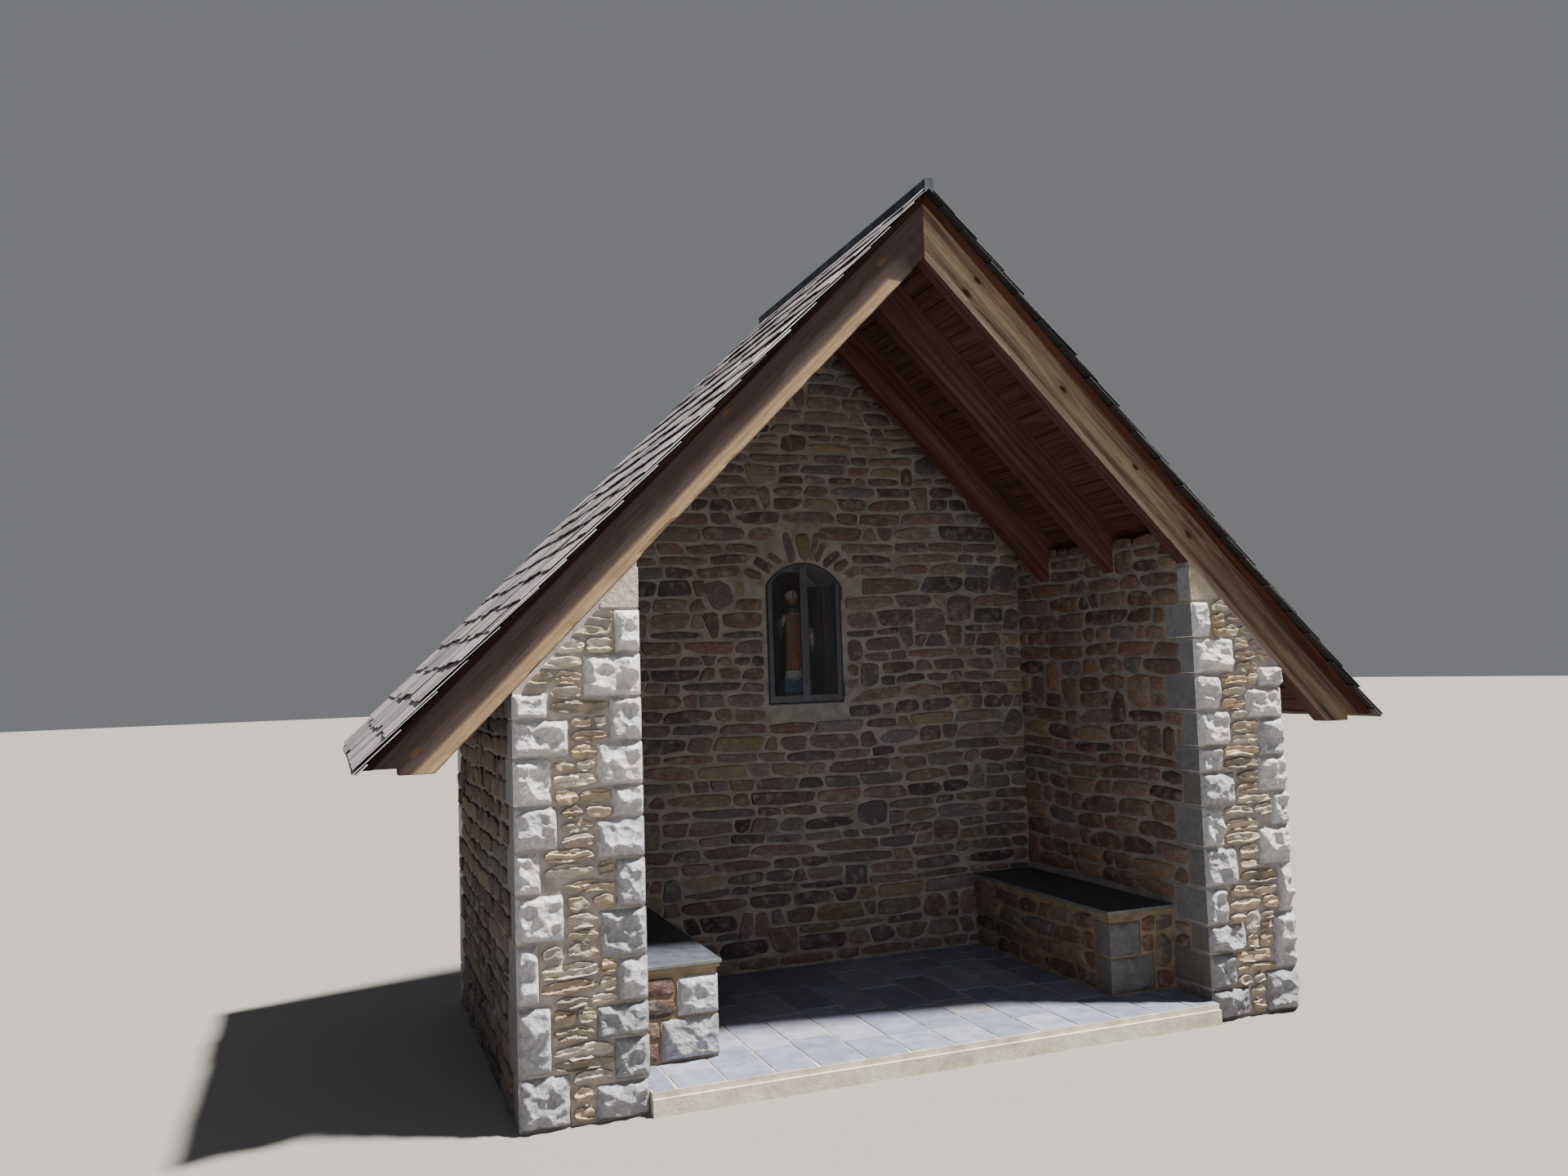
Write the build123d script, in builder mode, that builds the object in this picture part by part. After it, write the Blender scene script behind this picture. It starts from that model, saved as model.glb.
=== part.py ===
"""A small open-fronted wayside chapel of rubble masonry under a steep slate roof.

Axes: X runs across the gable, Y runs from the open front towards the back wall, Z is up.
The origin is the middle of the building's footprint, at the foot of its walls.
"""
import os
from math import ceil, cos, radians, sin, sqrt, tan

from build123d import *

os.makedirs("parts", exist_ok=True)

# Room and walls, in millimetres
room_width = 2810
room_depth = 1610
wall_thickness = 520
back_wall_thickness = 550
footing_height = 100

# Roof timbers
roof_pitch = 45.25
apex_height = 3560
rafter_width = 95
rafter_height = 190
rafter_spacing = 628
tail_height = 1315
tail_heel = 138
eave_height = 1342
board_thickness = 25
filling_height = 155
filling_round = 45
pocket_clearance = 4
verge_board_thickness = 20
verge_board_height = 30

# Roof covering
verge_overhang = 70
slate_run = 3587
slate_gauge = 180
slate_thickness = 10
slate_bed = 18
ridge_roll_width = 42
ridge_roll_height = 70
ridge_roll_round = 8
ridge_clearance = 1

# Floor
paving_thickness = 30
bed_step = 60
paving_step = 45

# Benches
bench_depth = 400
bench_height = 420
bench_setback = 255
seat_thickness = 35
seat_overhang = 20
seat_edge_round = 4

# Arched niche in the back wall
niche_width = 470
niche_offset = -25
niche_sill_height = 1470
niche_side_height = 688
niche_rise = 130
niche_depth = 340
arch_ring = 135

# Glazed niche door and its fixed frame
frame_thickness = 6
frame_depth = 40
frame_clearance = 0.3
leaf_gap = 5
leaf_projection = 3
leaf_thickness = 20
stile_width = 28
rail_width = 40
arch_bar_width = 12
mullion_width = 46
lip_depth = 8
lip_width = 6
glass_thickness = 4
glass_clearance = 1

# Hinges of the niche door
barrel_radius = 7
barrel_length = 42
barrel_gap = 0.5
pin_radius = 3
pin_clearance = 0.3
pin_reach = 30
hinge_plate_thickness = 3
hinge_plate_width = 24
hinge_offset = 8
pin_setout = 5
lower_hinge_height = 75
upper_hinge_height = 637

# Figure in the niche
figure_height = 533
figure_setback = 200
plinth_height = 141
plinth_width = 170
plinth_depth = 140
plinth_round = 12

# The figure's own proportions, in head heights above its foot or from its middle
figure_heads = 8.2
robe_levels = [
    (0.0, 0.85, 0.62),
    (0.8, 0.8, 0.58),
    (3.2, 0.76, 0.52),
    (4.8, 0.78, 0.5),
    (5.8, 0.86, 0.44),
    (6.25, 0.5, 0.32),
]
neck_level = 6.1
neck_radius = 0.27
head_centre = 7.28
head_radius = 0.42
chin_level = 6.72
chin_radius = 0.16
mitre_foot = 7.42
mitre_half_width = 0.48
mitre_flare = 0.58
mitre_flare_level = 7.75
mitre_half_depth = 0.4
mitre_cleft_half = 0.28
arm_radius = 0.22
cuff_radius = 0.3
hand_radius = 0.15
shoulder_reach = 0.66
shoulder_level = 5.85
elbow_reach = 1.2
elbow_level = 4.75
hand_reach = 1.55
hand_forward = 1.0
sleeve_thickness = 0.2
# Height of each hand, and how far the sleeve hangs down from it
sleeves = {"left": (5.2, 1.3), "right": (4.3, 1.9)}

# Values worked out from the driving sizes
floor_level = footing_height
tail_level = floor_level + tail_height
eave_level = floor_level + eave_height
pitch = radians(roof_pitch)
building_depth = room_depth + back_wall_thickness
front = -building_depth / 2
room_back = front + room_depth
back = front + building_depth
inner_x = room_width / 2
outer_x = inner_x + wall_thickness
sides = {"left": -1, "right": 1}
rafter_fronts = [front + index * rafter_spacing for index in range(3)] + [back - rafter_width]
slate_height = slate_bed + slate_thickness
boards_apex = rafter_height + board_thickness
slate_start = front - verge_overhang
slate_end = back + verge_overhang
niche_sill = floor_level + niche_sill_height
niche_spring = niche_sill + niche_side_height
niche_left = niche_offset - niche_width / 2
niche_right = niche_offset + niche_width / 2
niche_back_face = room_back + niche_depth
arch_radius = ((niche_width / 2) ** 2 + niche_rise**2) / (2 * niche_rise)
arch_centre_z = niche_spring + niche_rise - arch_radius


def slope_z(x, lift):
    """Height of the plane that lies lift above the rafters' underside, x from the middle."""
    return floor_level + apex_height + lift / cos(pitch) - x * tan(pitch)


def slope_x(z, lift):
    """Distance from the middle at which that plane comes down to height z."""
    return (floor_level + apex_height + lift / cos(pitch) - z) / tan(pitch)


def upright(y):
    """Upright plane across the building at depth y; an extrusion from it runs to the front."""
    return Plane.XZ.offset(-y)


def outline(points, side=1):
    """Closed face through points given as (distance from the middle, height)."""
    with BuildLine() as border:
        Polyline([(side * x, z) for x, z in points], close=True)
    make_face(border.edges())


def under_roof_outline(lift):
    """Upright triangle from the ground up to the plane lift above the rafters' underside."""
    foot_x = slope_x(0, lift)
    outline([(-foot_x, 0), (foot_x, 0), (0, slope_z(0, lift))])


def back_wall_outline(start_x, end_x, foot, head):
    """Upright stretch of the back wall between two levels, cut off under the roof boards."""
    under_roof_outline(rafter_height)
    with Locations((start_x, foot)):
        Rectangle(
            end_x - start_x, head - foot, align=(Align.MIN, Align.MIN), mode=Mode.INTERSECT
        )


def rafter_outline(side):
    """Side view of one rafter: plumb cut at the ridge, stepped level cut at the eave."""
    toe_x = slope_x(tail_level, 0)
    outline(
        [
            (0, slope_z(0, 0)),
            (toe_x, tail_level),
            (toe_x + tail_heel, tail_level),
            (toe_x + tail_heel, eave_level),
            (slope_x(eave_level, rafter_height), eave_level),
            (0, slope_z(0, rafter_height)),
        ],
        side,
    )


def arch_panel(side_inset, arch_inset, foot_inset):
    """The niche's outline drawn in at its sides, its arch and its foot."""
    half = niche_width / 2 - side_inset
    radius = arch_radius - arch_inset
    foot = niche_sill + foot_inset
    spring = arch_centre_z + sqrt(radius**2 - half**2)
    with BuildLine() as border:
        Polyline(
            (niche_offset - half, spring),
            (niche_offset - half, foot),
            (niche_offset + half, foot),
            (niche_offset + half, spring),
        )
        ThreePointArc(
            (niche_offset + half, spring),
            (niche_offset, arch_centre_z + radius),
            (niche_offset - half, spring),
        )
    make_face(border.edges())


def save(part, name):
    """Label a finished piece and write it to its own file."""
    part.label = name
    export_step(part, f"parts/{name}.step")


# Mortar bed under the floor, with a low step along the open front
with BuildPart() as floor_bed:
    with BuildSketch(Plane.XY):
        with Locations((0, front - bed_step)):
            Rectangle(room_width, room_depth + bed_step, align=(Align.CENTER, Align.MIN))
    extrude(amount=floor_level - paving_thickness)
save(floor_bed.part, "floor_bed")

# Slate paving of the room
with BuildPart() as slate_paving:
    with BuildSketch(Plane.XY.offset(floor_level - paving_thickness)):
        with Locations((0, front - paving_step)):
            Rectangle(room_width, room_depth + paving_step, align=(Align.CENTER, Align.MIN))
    extrude(amount=paving_thickness)
save(slate_paving.part, "slate_paving")

# Side walls, whose tops follow the rafters, with masonry filling between the rafters
for name, side in sides.items():
    with BuildPart() as side_wall:
        with BuildSketch(upright(back)):
            outline(
                [
                    (inner_x, 0),
                    (outer_x, 0),
                    (outer_x, slope_z(outer_x, 0)),
                    (inner_x, slope_z(inner_x, 0)),
                ],
                side,
            )
        extrude(amount=building_depth)
        for fore, aft in zip(rafter_fronts, rafter_fronts[1:]):
            bay_start = fore + rafter_width + pocket_clearance
            bay_end = aft - pocket_clearance
            with BuildSketch(upright(bay_end)) as filling:
                outline(
                    [
                        (inner_x, slope_z(inner_x, 0)),
                        (outer_x, slope_z(outer_x, 0)),
                        (outer_x, slope_z(outer_x, filling_height)),
                        (inner_x, slope_z(inner_x, filling_height)),
                    ],
                    side,
                )
                crown = filling.vertices().sort_by(Axis.Y)[-1]
                fillet(crown, radius=filling_round)
            extrude(amount=bay_end - bay_start)
    save(side_wall.part, f"{name}_wall")

# Back wall below the niche
with BuildPart() as back_wall_base:
    with BuildSketch(Plane.XY):
        with Locations((0, room_back)):
            Rectangle(room_width, back_wall_thickness, align=(Align.CENTER, Align.MIN))
    extrude(amount=niche_sill)
save(back_wall_base.part, "back_wall_base")

# Back wall on either side of the niche, cut back where the last rafters pass
niche_jambs = {"left": (-inner_x, niche_left), "right": (niche_right, inner_x)}
for name, (start_x, end_x) in niche_jambs.items():
    with BuildPart() as back_wall_side:
        with BuildSketch(upright(back)):
            back_wall_outline(start_x, end_x, niche_sill, niche_spring)
        extrude(amount=back_wall_thickness)
        with BuildSketch(upright(back)):
            rafter_outline(sides[name])
        extrude(amount=rafter_width, mode=Mode.SUBTRACT)
    save(back_wall_side.part, f"back_wall_{name}")

# Masonry that closes the niche at the back
with BuildPart() as niche_back:
    with BuildSketch(Plane.XY.offset(niche_sill)):
        with Locations((niche_left, niche_back_face)):
            Rectangle(niche_width, back - niche_back_face, align=(Align.MIN, Align.MIN))
    extrude(amount=niche_side_height)
save(niche_back.part, "niche_back")

# The arch over the niche, a ring of upright stones as deep as the niche


def arch_ring_outline():
    """Face between the arch's inner and outer arcs, above the springing."""
    ring_radius = arch_radius + arch_ring
    with Locations((niche_offset, arch_centre_z)):
        Circle(ring_radius)
        Circle(arch_radius, mode=Mode.SUBTRACT)
    with Locations((niche_offset, niche_spring)):
        Rectangle(2 * ring_radius, ring_radius, align=(Align.CENTER, Align.MIN), mode=Mode.INTERSECT)


with BuildPart() as niche_arch:
    with BuildSketch(upright(niche_back_face)):
        arch_ring_outline()
    extrude(amount=niche_depth)
save(niche_arch.part, "niche_arch")

# Gable above the niche, up to the roof boards, with room for the arch and the last rafters
with BuildPart() as back_wall_gable:
    with BuildSketch(upright(back)):
        back_wall_outline(-inner_x, inner_x, niche_spring, slope_z(0, rafter_height))
    extrude(amount=back_wall_thickness)
    with BuildSketch(upright(niche_back_face)):
        with Locations((niche_offset, arch_centre_z)):
            Circle(arch_radius + arch_ring)
    extrude(amount=niche_depth, mode=Mode.SUBTRACT)
    for side in sides.values():
        with BuildSketch(upright(back)):
            rafter_outline(side)
        extrude(amount=rafter_width, mode=Mode.SUBTRACT)
save(back_wall_gable.part, "back_wall_gable")

# Benches: a masonry base with a slate slab for a seat
for name, side in sides.items():
    base_depth = bench_depth - seat_overhang
    base_front = front + bench_setback + seat_overhang
    seat_front = front + bench_setback
    wall_edge = Align.MIN if side < 0 else Align.MAX
    with BuildPart() as bench_base:
        with BuildSketch(Plane.XY.offset(floor_level)):
            with Locations((side * inner_x, base_front)):
                Rectangle(base_depth, room_back - base_front, align=(wall_edge, Align.MIN))
        extrude(amount=bench_height - seat_thickness)
    save(bench_base.part, f"{name}_bench_base")
    with BuildPart() as bench_seat:
        with BuildSketch(Plane.XY.offset(floor_level + bench_height - seat_thickness)):
            with Locations((side * inner_x, seat_front)):
                Rectangle(bench_depth, room_back - seat_front, align=(wall_edge, Align.MIN))
        extrude(amount=seat_thickness)
        fillet(bench_seat.faces().sort_by(Axis.Z)[-1].edges(), radius=seat_edge_round)
    save(bench_seat.part, f"{name}_bench_seat")

# Rafters, in couples that meet at the ridge
for name, side in sides.items():
    for number, rafter_front in enumerate(rafter_fronts, start=1):
        with BuildPart() as rafter:
            with BuildSketch(upright(rafter_front + rafter_width)):
                rafter_outline(side)
            extrude(amount=rafter_width)
        save(rafter.part, f"rafter_{name}_{number}")

# Roof boards on the rafters, from verge to verge
for name, side in sides.items():
    with BuildPart() as roof_boards:
        with BuildSketch(upright(back)):
            outline(
                [
                    (0, slope_z(0, rafter_height)),
                    (slope_x(eave_level, rafter_height), eave_level),
                    (slope_x(eave_level, boards_apex), eave_level),
                    (0, slope_z(0, boards_apex)),
                ],
                side,
            )
        extrude(amount=building_depth)
    save(roof_boards.part, f"{name}_roof_boards")

# Verge boards, which cover the cut ends of the roof boards at both gables
verge_planes = {"front": front, "back": back + verge_board_thickness}
for name, side in sides.items():
    for gable, verge_y in verge_planes.items():
        with BuildPart() as verge_board:
            with BuildSketch(upright(verge_y)):
                outline(
                    [
                        (0, slope_z(0, boards_apex - verge_board_height)),
                        (slope_x(eave_level, boards_apex - verge_board_height), eave_level),
                        (slope_x(eave_level, boards_apex), eave_level),
                        (0, slope_z(0, boards_apex)),
                    ],
                    side,
                )
            extrude(amount=verge_board_thickness)
        save(verge_board.part, f"verge_board_{gable}_{name}")


def slope_point(run, height):
    """Point of the roof section, run down the slope from the ridge and height over the boards."""
    return (
        run * cos(pitch) + height * sin(pitch),
        slope_z(0, boards_apex) - run * sin(pitch) + height * cos(pitch),
    )


def slate_outline():
    """Stepped section of the lapped courses, one nose for each course, eave course first."""
    courses = ceil(slate_run / slate_gauge)
    noses = [slate_run - course * slate_gauge for course in range(courses)]
    points = [slope_point(-slate_gauge, 0), slope_point(slate_run, 0)]
    for nose in noses:
        points.append(slope_point(nose, slate_height))
        points.append(slope_point(nose - slate_gauge, slate_bed))
    points.append(slope_point(-slate_gauge, slate_bed))
    return points


# Slates of both slopes, laid in lapped courses and cut off beside the ridge roll
for name, side in sides.items():
    cut_x = ridge_roll_width / 2 + ridge_clearance
    with BuildPart() as slates:
        with BuildSketch(upright(slate_end)):
            outline(slate_outline(), side)
            with Locations((side * cut_x, 0)):
                Rectangle(
                    2 * slate_run,
                    2 * slope_z(0, boards_apex + slate_height),
                    align=(Align.MIN if side > 0 else Align.MAX, Align.MIN),
                    mode=Mode.INTERSECT,
                )
        extrude(amount=slate_end - slate_start)
    save(slates.part, f"{name}_slates")

# Ridge roll, seated astride the peak of the boards
with BuildPart() as ridge_roll:
    with BuildSketch(upright(slate_end)) as roll:
        seat_z = slope_z(ridge_roll_width / 2, boards_apex)
        crest_z = seat_z + ridge_roll_height
        outline(
            [
                (0, slope_z(0, boards_apex)),
                (ridge_roll_width / 2, seat_z),
                (ridge_roll_width / 2, crest_z),
                (-ridge_roll_width / 2, crest_z),
                (-ridge_roll_width / 2, seat_z),
            ]
        )
        fillet(roll.vertices().sort_by(Axis.Y)[-2:], radius=ridge_roll_round)
    extrude(amount=slate_end - slate_start)
save(ridge_roll.part, "ridge_roll")

# Fixed frame of the niche door, a thin steel lining with the lower hinge knuckles and pins
leaf_inset = frame_clearance + frame_thickness + leaf_gap
leaf_front = room_back - leaf_projection
leaf_right = niche_right - leaf_inset
pin_x = leaf_right + hinge_offset
pin_y = leaf_front - pin_setout
knuckle_centres = [niche_sill + lower_hinge_height, niche_sill + upper_hinge_height]

with BuildPart() as niche_frame:
    with BuildSketch(upright(room_back + frame_depth)):
        arch_panel(frame_clearance, frame_clearance, 0)
    extrude(amount=frame_depth)
    with BuildSketch(upright(room_back + frame_depth)):
        lining = frame_clearance + frame_thickness
        arch_panel(lining, lining, frame_thickness)
    extrude(amount=frame_depth, mode=Mode.SUBTRACT)
    for centre_z in knuckle_centres:
        with BuildSketch(Plane.XY.offset(centre_z - barrel_length - barrel_gap / 2)):
            with Locations((pin_x, pin_y)):
                Circle(barrel_radius)
            with Locations((pin_x, pin_y)):
                Rectangle(
                    frame_thickness, room_back - pin_y, align=(Align.CENTER, Align.MIN)
                )
        extrude(amount=barrel_length)
        with BuildSketch(Plane.XY.offset(centre_z - barrel_gap)):
            with Locations((pin_x, pin_y)):
                Circle(pin_radius)
        extrude(amount=pin_reach)
save(niche_frame.part, "niche_frame")

# Door leaf: stiles, rail, arch bar and mullion with a glazing rebate behind a front lip
with BuildPart() as niche_door:
    with BuildSketch(upright(leaf_front + leaf_thickness)):
        arch_panel(leaf_inset, leaf_inset, frame_thickness + leaf_gap)
    extrude(amount=leaf_thickness)
    with BuildSketch(upright(leaf_front + leaf_thickness)):
        arch_panel(
            leaf_inset + stile_width - lip_width,
            leaf_inset + arch_bar_width - lip_width,
            frame_thickness + leaf_gap + rail_width - lip_width,
        )
    extrude(amount=leaf_thickness - lip_depth, mode=Mode.SUBTRACT)
    with BuildSketch(upright(leaf_front + lip_depth)):
        arch_panel(
            leaf_inset + stile_width,
            leaf_inset + arch_bar_width,
            frame_thickness + leaf_gap + rail_width,
        )
        with Locations((niche_offset, niche_spring)):
            Rectangle(mullion_width, 2 * niche_side_height, mode=Mode.SUBTRACT)
    extrude(amount=lip_depth, mode=Mode.SUBTRACT)
    for centre_z in knuckle_centres:
        with BuildSketch(Plane.XY.offset(centre_z + barrel_gap / 2)):
            with Locations((pin_x, pin_y)):
                Circle(barrel_radius)
            with Locations((pin_x, leaf_front)):
                Rectangle(
                    hinge_offset + hinge_plate_width,
                    hinge_plate_thickness,
                    align=(Align.MAX, Align.MAX),
                )
            with Locations((pin_x, pin_y)):
                Circle(pin_radius + pin_clearance, mode=Mode.SUBTRACT)
        extrude(amount=barrel_length)
save(niche_door.part, "niche_door")

# One pane of glass in the leaf's rebate
with BuildPart() as niche_glass:
    with BuildSketch(upright(leaf_front + lip_depth + glass_thickness)):
        arch_panel(
            leaf_inset + stile_width - lip_width + glass_clearance,
            leaf_inset + arch_bar_width - lip_width + glass_clearance,
            frame_thickness + leaf_gap + rail_width - lip_width + glass_clearance,
        )
    extrude(amount=glass_thickness)
save(niche_glass.part, "niche_glass")

# Plinth of the figure
figure_y = room_back + figure_setback
with BuildPart() as figure_plinth:
    with BuildSketch(Plane.XY.offset(niche_sill)):
        with Locations((niche_offset, figure_y)):
            RectangleRounded(plinth_width, plinth_depth, plinth_round)
    extrude(amount=plinth_height)
save(figure_plinth.part, "figure_plinth")

# Standing figure in long vestments and a pointed mitre, arms held forward in wide sleeves
head_height = figure_height / figure_heads
figure_foot = niche_sill + plinth_height


def figure_point(reach, forward, level):
    """Point of the figure: sideways from its middle, forwards, and above its foot."""
    return Vector(
        niche_offset + reach * head_height,
        figure_y - forward * head_height,
        figure_foot + level * head_height,
    )


def figure_plane(level):
    """Level plane through the figure's middle."""
    return Plane(figure_point(0, 0, level))


with BuildPart() as niche_figure:
    for level, half_width, half_depth in robe_levels:
        with BuildSketch(figure_plane(level)):
            Ellipse(half_width * head_height, half_depth * head_height)
    loft(ruled=True)
    with BuildSketch(figure_plane(neck_level)):
        Circle(neck_radius * head_height)
    extrude(amount=(head_centre - neck_level) * head_height)
    # Head: a ball for the skull and a taper down to the bearded chin
    with Locations(figure_plane(head_centre)):
        Sphere(head_radius * head_height)
    with Locations(figure_plane(chin_level)):
        Cone(
            chin_radius * head_height,
            head_radius * head_height,
            (head_centre - chin_level) * head_height,
            align=(Align.CENTER, Align.CENTER, Align.MIN),
        )
    # Mitre: a pointed shield seen from the front, with a cleft between its two points
    with BuildSketch(Plane.XZ.offset(-figure_y)):
        with BuildLine() as shield:
            Polyline(
                [
                    (corner.X, corner.Z)
                    for corner in (
                        figure_point(-mitre_half_width, 0, mitre_foot),
                        figure_point(mitre_half_width, 0, mitre_foot),
                        figure_point(mitre_flare, 0, mitre_flare_level),
                        figure_point(0, 0, figure_heads),
                        figure_point(-mitre_flare, 0, mitre_flare_level),
                    )
                ],
                close=True,
            )
        make_face(shield.edges())
    extrude(amount=mitre_half_depth * head_height, both=True)
    with BuildSketch(Plane.YZ.offset(niche_offset)):
        with BuildLine() as cleft:
            Polyline(
                [
                    (corner.Y, corner.Z)
                    for corner in (
                        figure_point(0, -mitre_cleft_half, figure_heads),
                        figure_point(0, 0, mitre_flare_level),
                        figure_point(0, mitre_cleft_half, figure_heads),
                    )
                ],
                close=True,
            )
        make_face(cleft.edges())
    extrude(amount=mitre_flare * head_height, both=True, mode=Mode.SUBTRACT)
    # Arms, each bent at the elbow, with a wide sleeve hanging from the forearm
    for name, (hand_level, sleeve_drop) in sleeves.items():
        side = sides[name]
        shoulder = figure_point(side * shoulder_reach, 0, shoulder_level)
        elbow = figure_point(side * elbow_reach, 0, elbow_level)
        hand = figure_point(side * hand_reach, hand_forward, hand_level)
        sleeve_tip = figure_point(side * hand_reach, hand_forward, hand_level - sleeve_drop)
        with Locations(Plane(origin=shoulder, z_dir=elbow - shoulder)):
            Cylinder(
                arm_radius * head_height,
                (elbow - shoulder).length,
                align=(Align.CENTER, Align.CENTER, Align.MIN),
            )
        with Locations(elbow):
            Sphere(arm_radius * head_height)
        with Locations(Plane(origin=elbow, z_dir=hand - elbow)):
            Cone(
                arm_radius * head_height,
                cuff_radius * head_height,
                (hand - elbow).length,
                align=(Align.CENTER, Align.CENTER, Align.MIN),
            )
        with Locations(hand):
            Sphere(hand_radius * head_height)
        forearm = Vector(hand.X - elbow.X, hand.Y - elbow.Y)
        forearm_plane = Plane(origin=elbow, x_dir=forearm, z_dir=forearm.cross(Vector(0, 0, 1)))
        with BuildSketch(forearm_plane):
            with BuildLine() as hanging:
                Polyline(
                    [
                        (corner.X, corner.Y)
                        for corner in (
                            forearm_plane.to_local_coords(point)
                            for point in (elbow, hand, sleeve_tip)
                        )
                    ],
                    close=True,
                )
            make_face(hanging.edges())
        extrude(amount=sleeve_thickness * head_height / 2, both=True)
save(niche_figure.part, "niche_figure")
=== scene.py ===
# %% [markdown]
# # A wayside chapel in stone, timber and slate
# The solids from the CAD source give every wall, timber and slab its place and size. This
# lesson dresses them: thousands of rubble stones, dressed corner blocks, single slates,
# soffit boards, paving, a glazed niche and the painted figure in it.

import math
import random

import bmesh
import bpy
from mathutils import Euler, Matrix, Vector, noise


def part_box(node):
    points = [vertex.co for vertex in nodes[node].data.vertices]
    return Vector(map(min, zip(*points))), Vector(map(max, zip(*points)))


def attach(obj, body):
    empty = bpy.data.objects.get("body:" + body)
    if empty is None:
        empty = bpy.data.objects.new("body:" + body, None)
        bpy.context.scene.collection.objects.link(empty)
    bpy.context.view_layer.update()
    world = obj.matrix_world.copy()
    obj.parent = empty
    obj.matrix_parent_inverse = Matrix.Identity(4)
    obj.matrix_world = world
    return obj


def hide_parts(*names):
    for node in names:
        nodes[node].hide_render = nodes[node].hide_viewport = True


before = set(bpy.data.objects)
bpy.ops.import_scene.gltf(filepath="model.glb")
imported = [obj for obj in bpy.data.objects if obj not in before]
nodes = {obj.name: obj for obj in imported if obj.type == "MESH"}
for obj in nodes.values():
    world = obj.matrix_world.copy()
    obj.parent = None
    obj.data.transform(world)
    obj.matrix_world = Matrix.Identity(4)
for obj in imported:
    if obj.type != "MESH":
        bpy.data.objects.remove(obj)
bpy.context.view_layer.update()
print("frame of", len(nodes), "nodes")

# %% [markdown]
# The main planes of the building are read from the solids, so the dressing follows them.
# The roof is one sloping plane, met again and again at another height over the rafters'
# underside, so it gets two small functions.

# %% Planes and levels of the building
pitch = math.radians(45.25)
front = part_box("left_wall")[0].y
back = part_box("left_wall")[1].y
room_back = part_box("back_wall_base")[0].y
inner_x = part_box("right_wall")[0].x
outer_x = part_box("right_wall")[1].x
floor_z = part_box("slate_paving")[1].z
sill_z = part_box("niche_frame")[0].z
spring_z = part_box("niche_arch")[0].z
niche_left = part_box("niche_back")[0].x
niche_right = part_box("niche_back")[1].x
niche_back_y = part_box("niche_back")[0].y
niche_x = (niche_left + niche_right) / 2
arch_radius = 0.2774
arch_z = 2.1106
rafter_width = 0.095
rafter_fronts = [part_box(f"rafter_left_{number}")[0].y for number in (1, 2, 3, 4)]
boards_under = 0.190
boards_top = 0.215
apex_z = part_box("rafter_left_1")[1].z - boards_under / math.cos(pitch)


def slope_z(x, lift):
    """Height of the plane lift above the rafters' underside, x from the middle."""
    return apex_z + lift / math.cos(pitch) - abs(x) * math.tan(pitch)


def slope_point(side, run, y, lift):
    """Point run down the slope from the ridge and lift above the rafters' underside."""
    x = run * math.cos(pitch) + (lift - boards_top) * math.sin(pitch)
    z = slope_z(0, boards_top) - run * math.sin(pitch) + (lift - boards_top) * math.cos(pitch)
    return Vector((side * x, y, z))


print("room", round(2 * inner_x, 3), "wide, floor at", round(floor_z, 3))

# %% [markdown]
# Every finish is a small node tree. One function turns a hex colour to linear light, one adds
# a node with its settings and links, and one starts a material with its shader. The kinds of
# node that nearly every finish needs get a short function each.

# %% Colour and node helpers


def linear(hex_code):
    """Linear colour with full alpha from an sRGB hex code."""
    channels = [int(hex_code[index : index + 2], 16) / 255 for index in (1, 3, 5)]
    return tuple(
        c / 12.92 if c <= 0.04045 else ((c + 0.055) / 1.055) ** 2.4 for c in channels
    ) + (1.0,)


def add_node(tree, kind, values=None, links=None, stops=None, **settings):
    """Adds one node; values and links go to its sockets, stops to its colour ramp."""
    node = tree.nodes.new(kind)
    for key, value in settings.items():
        setattr(node, key, value)
    for key, value in (values or {}).items():
        node.inputs[key].default_value = value
    for key, socket in (links or {}).items():
        tree.links.new(socket, node.inputs[key])
    if stops:
        ramp = node.color_ramp.elements
        while len(ramp) < len(stops):
            ramp.new(0.5)
        for element, (position, colour) in zip(ramp, stops):
            element.position = position
            element.color = linear(colour)
    return node


def add_noise(tree, vector, scale, detail, roughness=0.5):
    """Fractal noise, from 0 to 1."""
    return add_node(
        tree, "ShaderNodeTexNoise",
        values={"Scale": scale, "Detail": detail, "Roughness": roughness},
        links={"Vector": vector},
    ).outputs["Fac"]


def add_range(tree, value, old, new=(0, 1)):
    """Stretches a value from an old range to a new one, and cuts off the rest."""
    return add_node(
        tree, "ShaderNodeMapRange",
        values={"From Min": old[0], "From Max": old[1], "To Min": new[0], "To Max": new[1]},
        links={"Value": value},
    ).outputs["Result"]


def add_ramp(tree, value, stops):
    """A colour from a value."""
    return add_node(
        tree, "ShaderNodeValToRGB", links={"Fac": value}, stops=stops
    ).outputs["Color"]


def add_scale(tree, colour, factor):
    """A colour or vector times a number."""
    return add_node(
        tree, "ShaderNodeVectorMath", operation="SCALE", links={0: colour, "Scale": factor}
    ).outputs["Vector"]


def add_bump(tree, height, strength, distance):
    """A normal from a height."""
    return add_node(
        tree, "ShaderNodeBump", values={"Strength": strength, "Distance": distance},
        links={"Height": height},
    ).outputs["Normal"]


def add_terms(tree, kind, terms, **settings):
    """Adds a node whose inputs are fixed values or other nodes' outputs."""
    links = {key: term for key, term in terms.items() if hasattr(term, "links")}
    values = {key: term for key, term in terms.items() if key not in links}
    return add_node(tree, kind, values, links, **settings).outputs


def add_math(tree, operation, *terms):
    """Arithmetic on numbers."""
    terms = dict(enumerate(terms))
    return add_terms(tree, "ShaderNodeMath", terms, operation=operation)["Value"]


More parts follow.
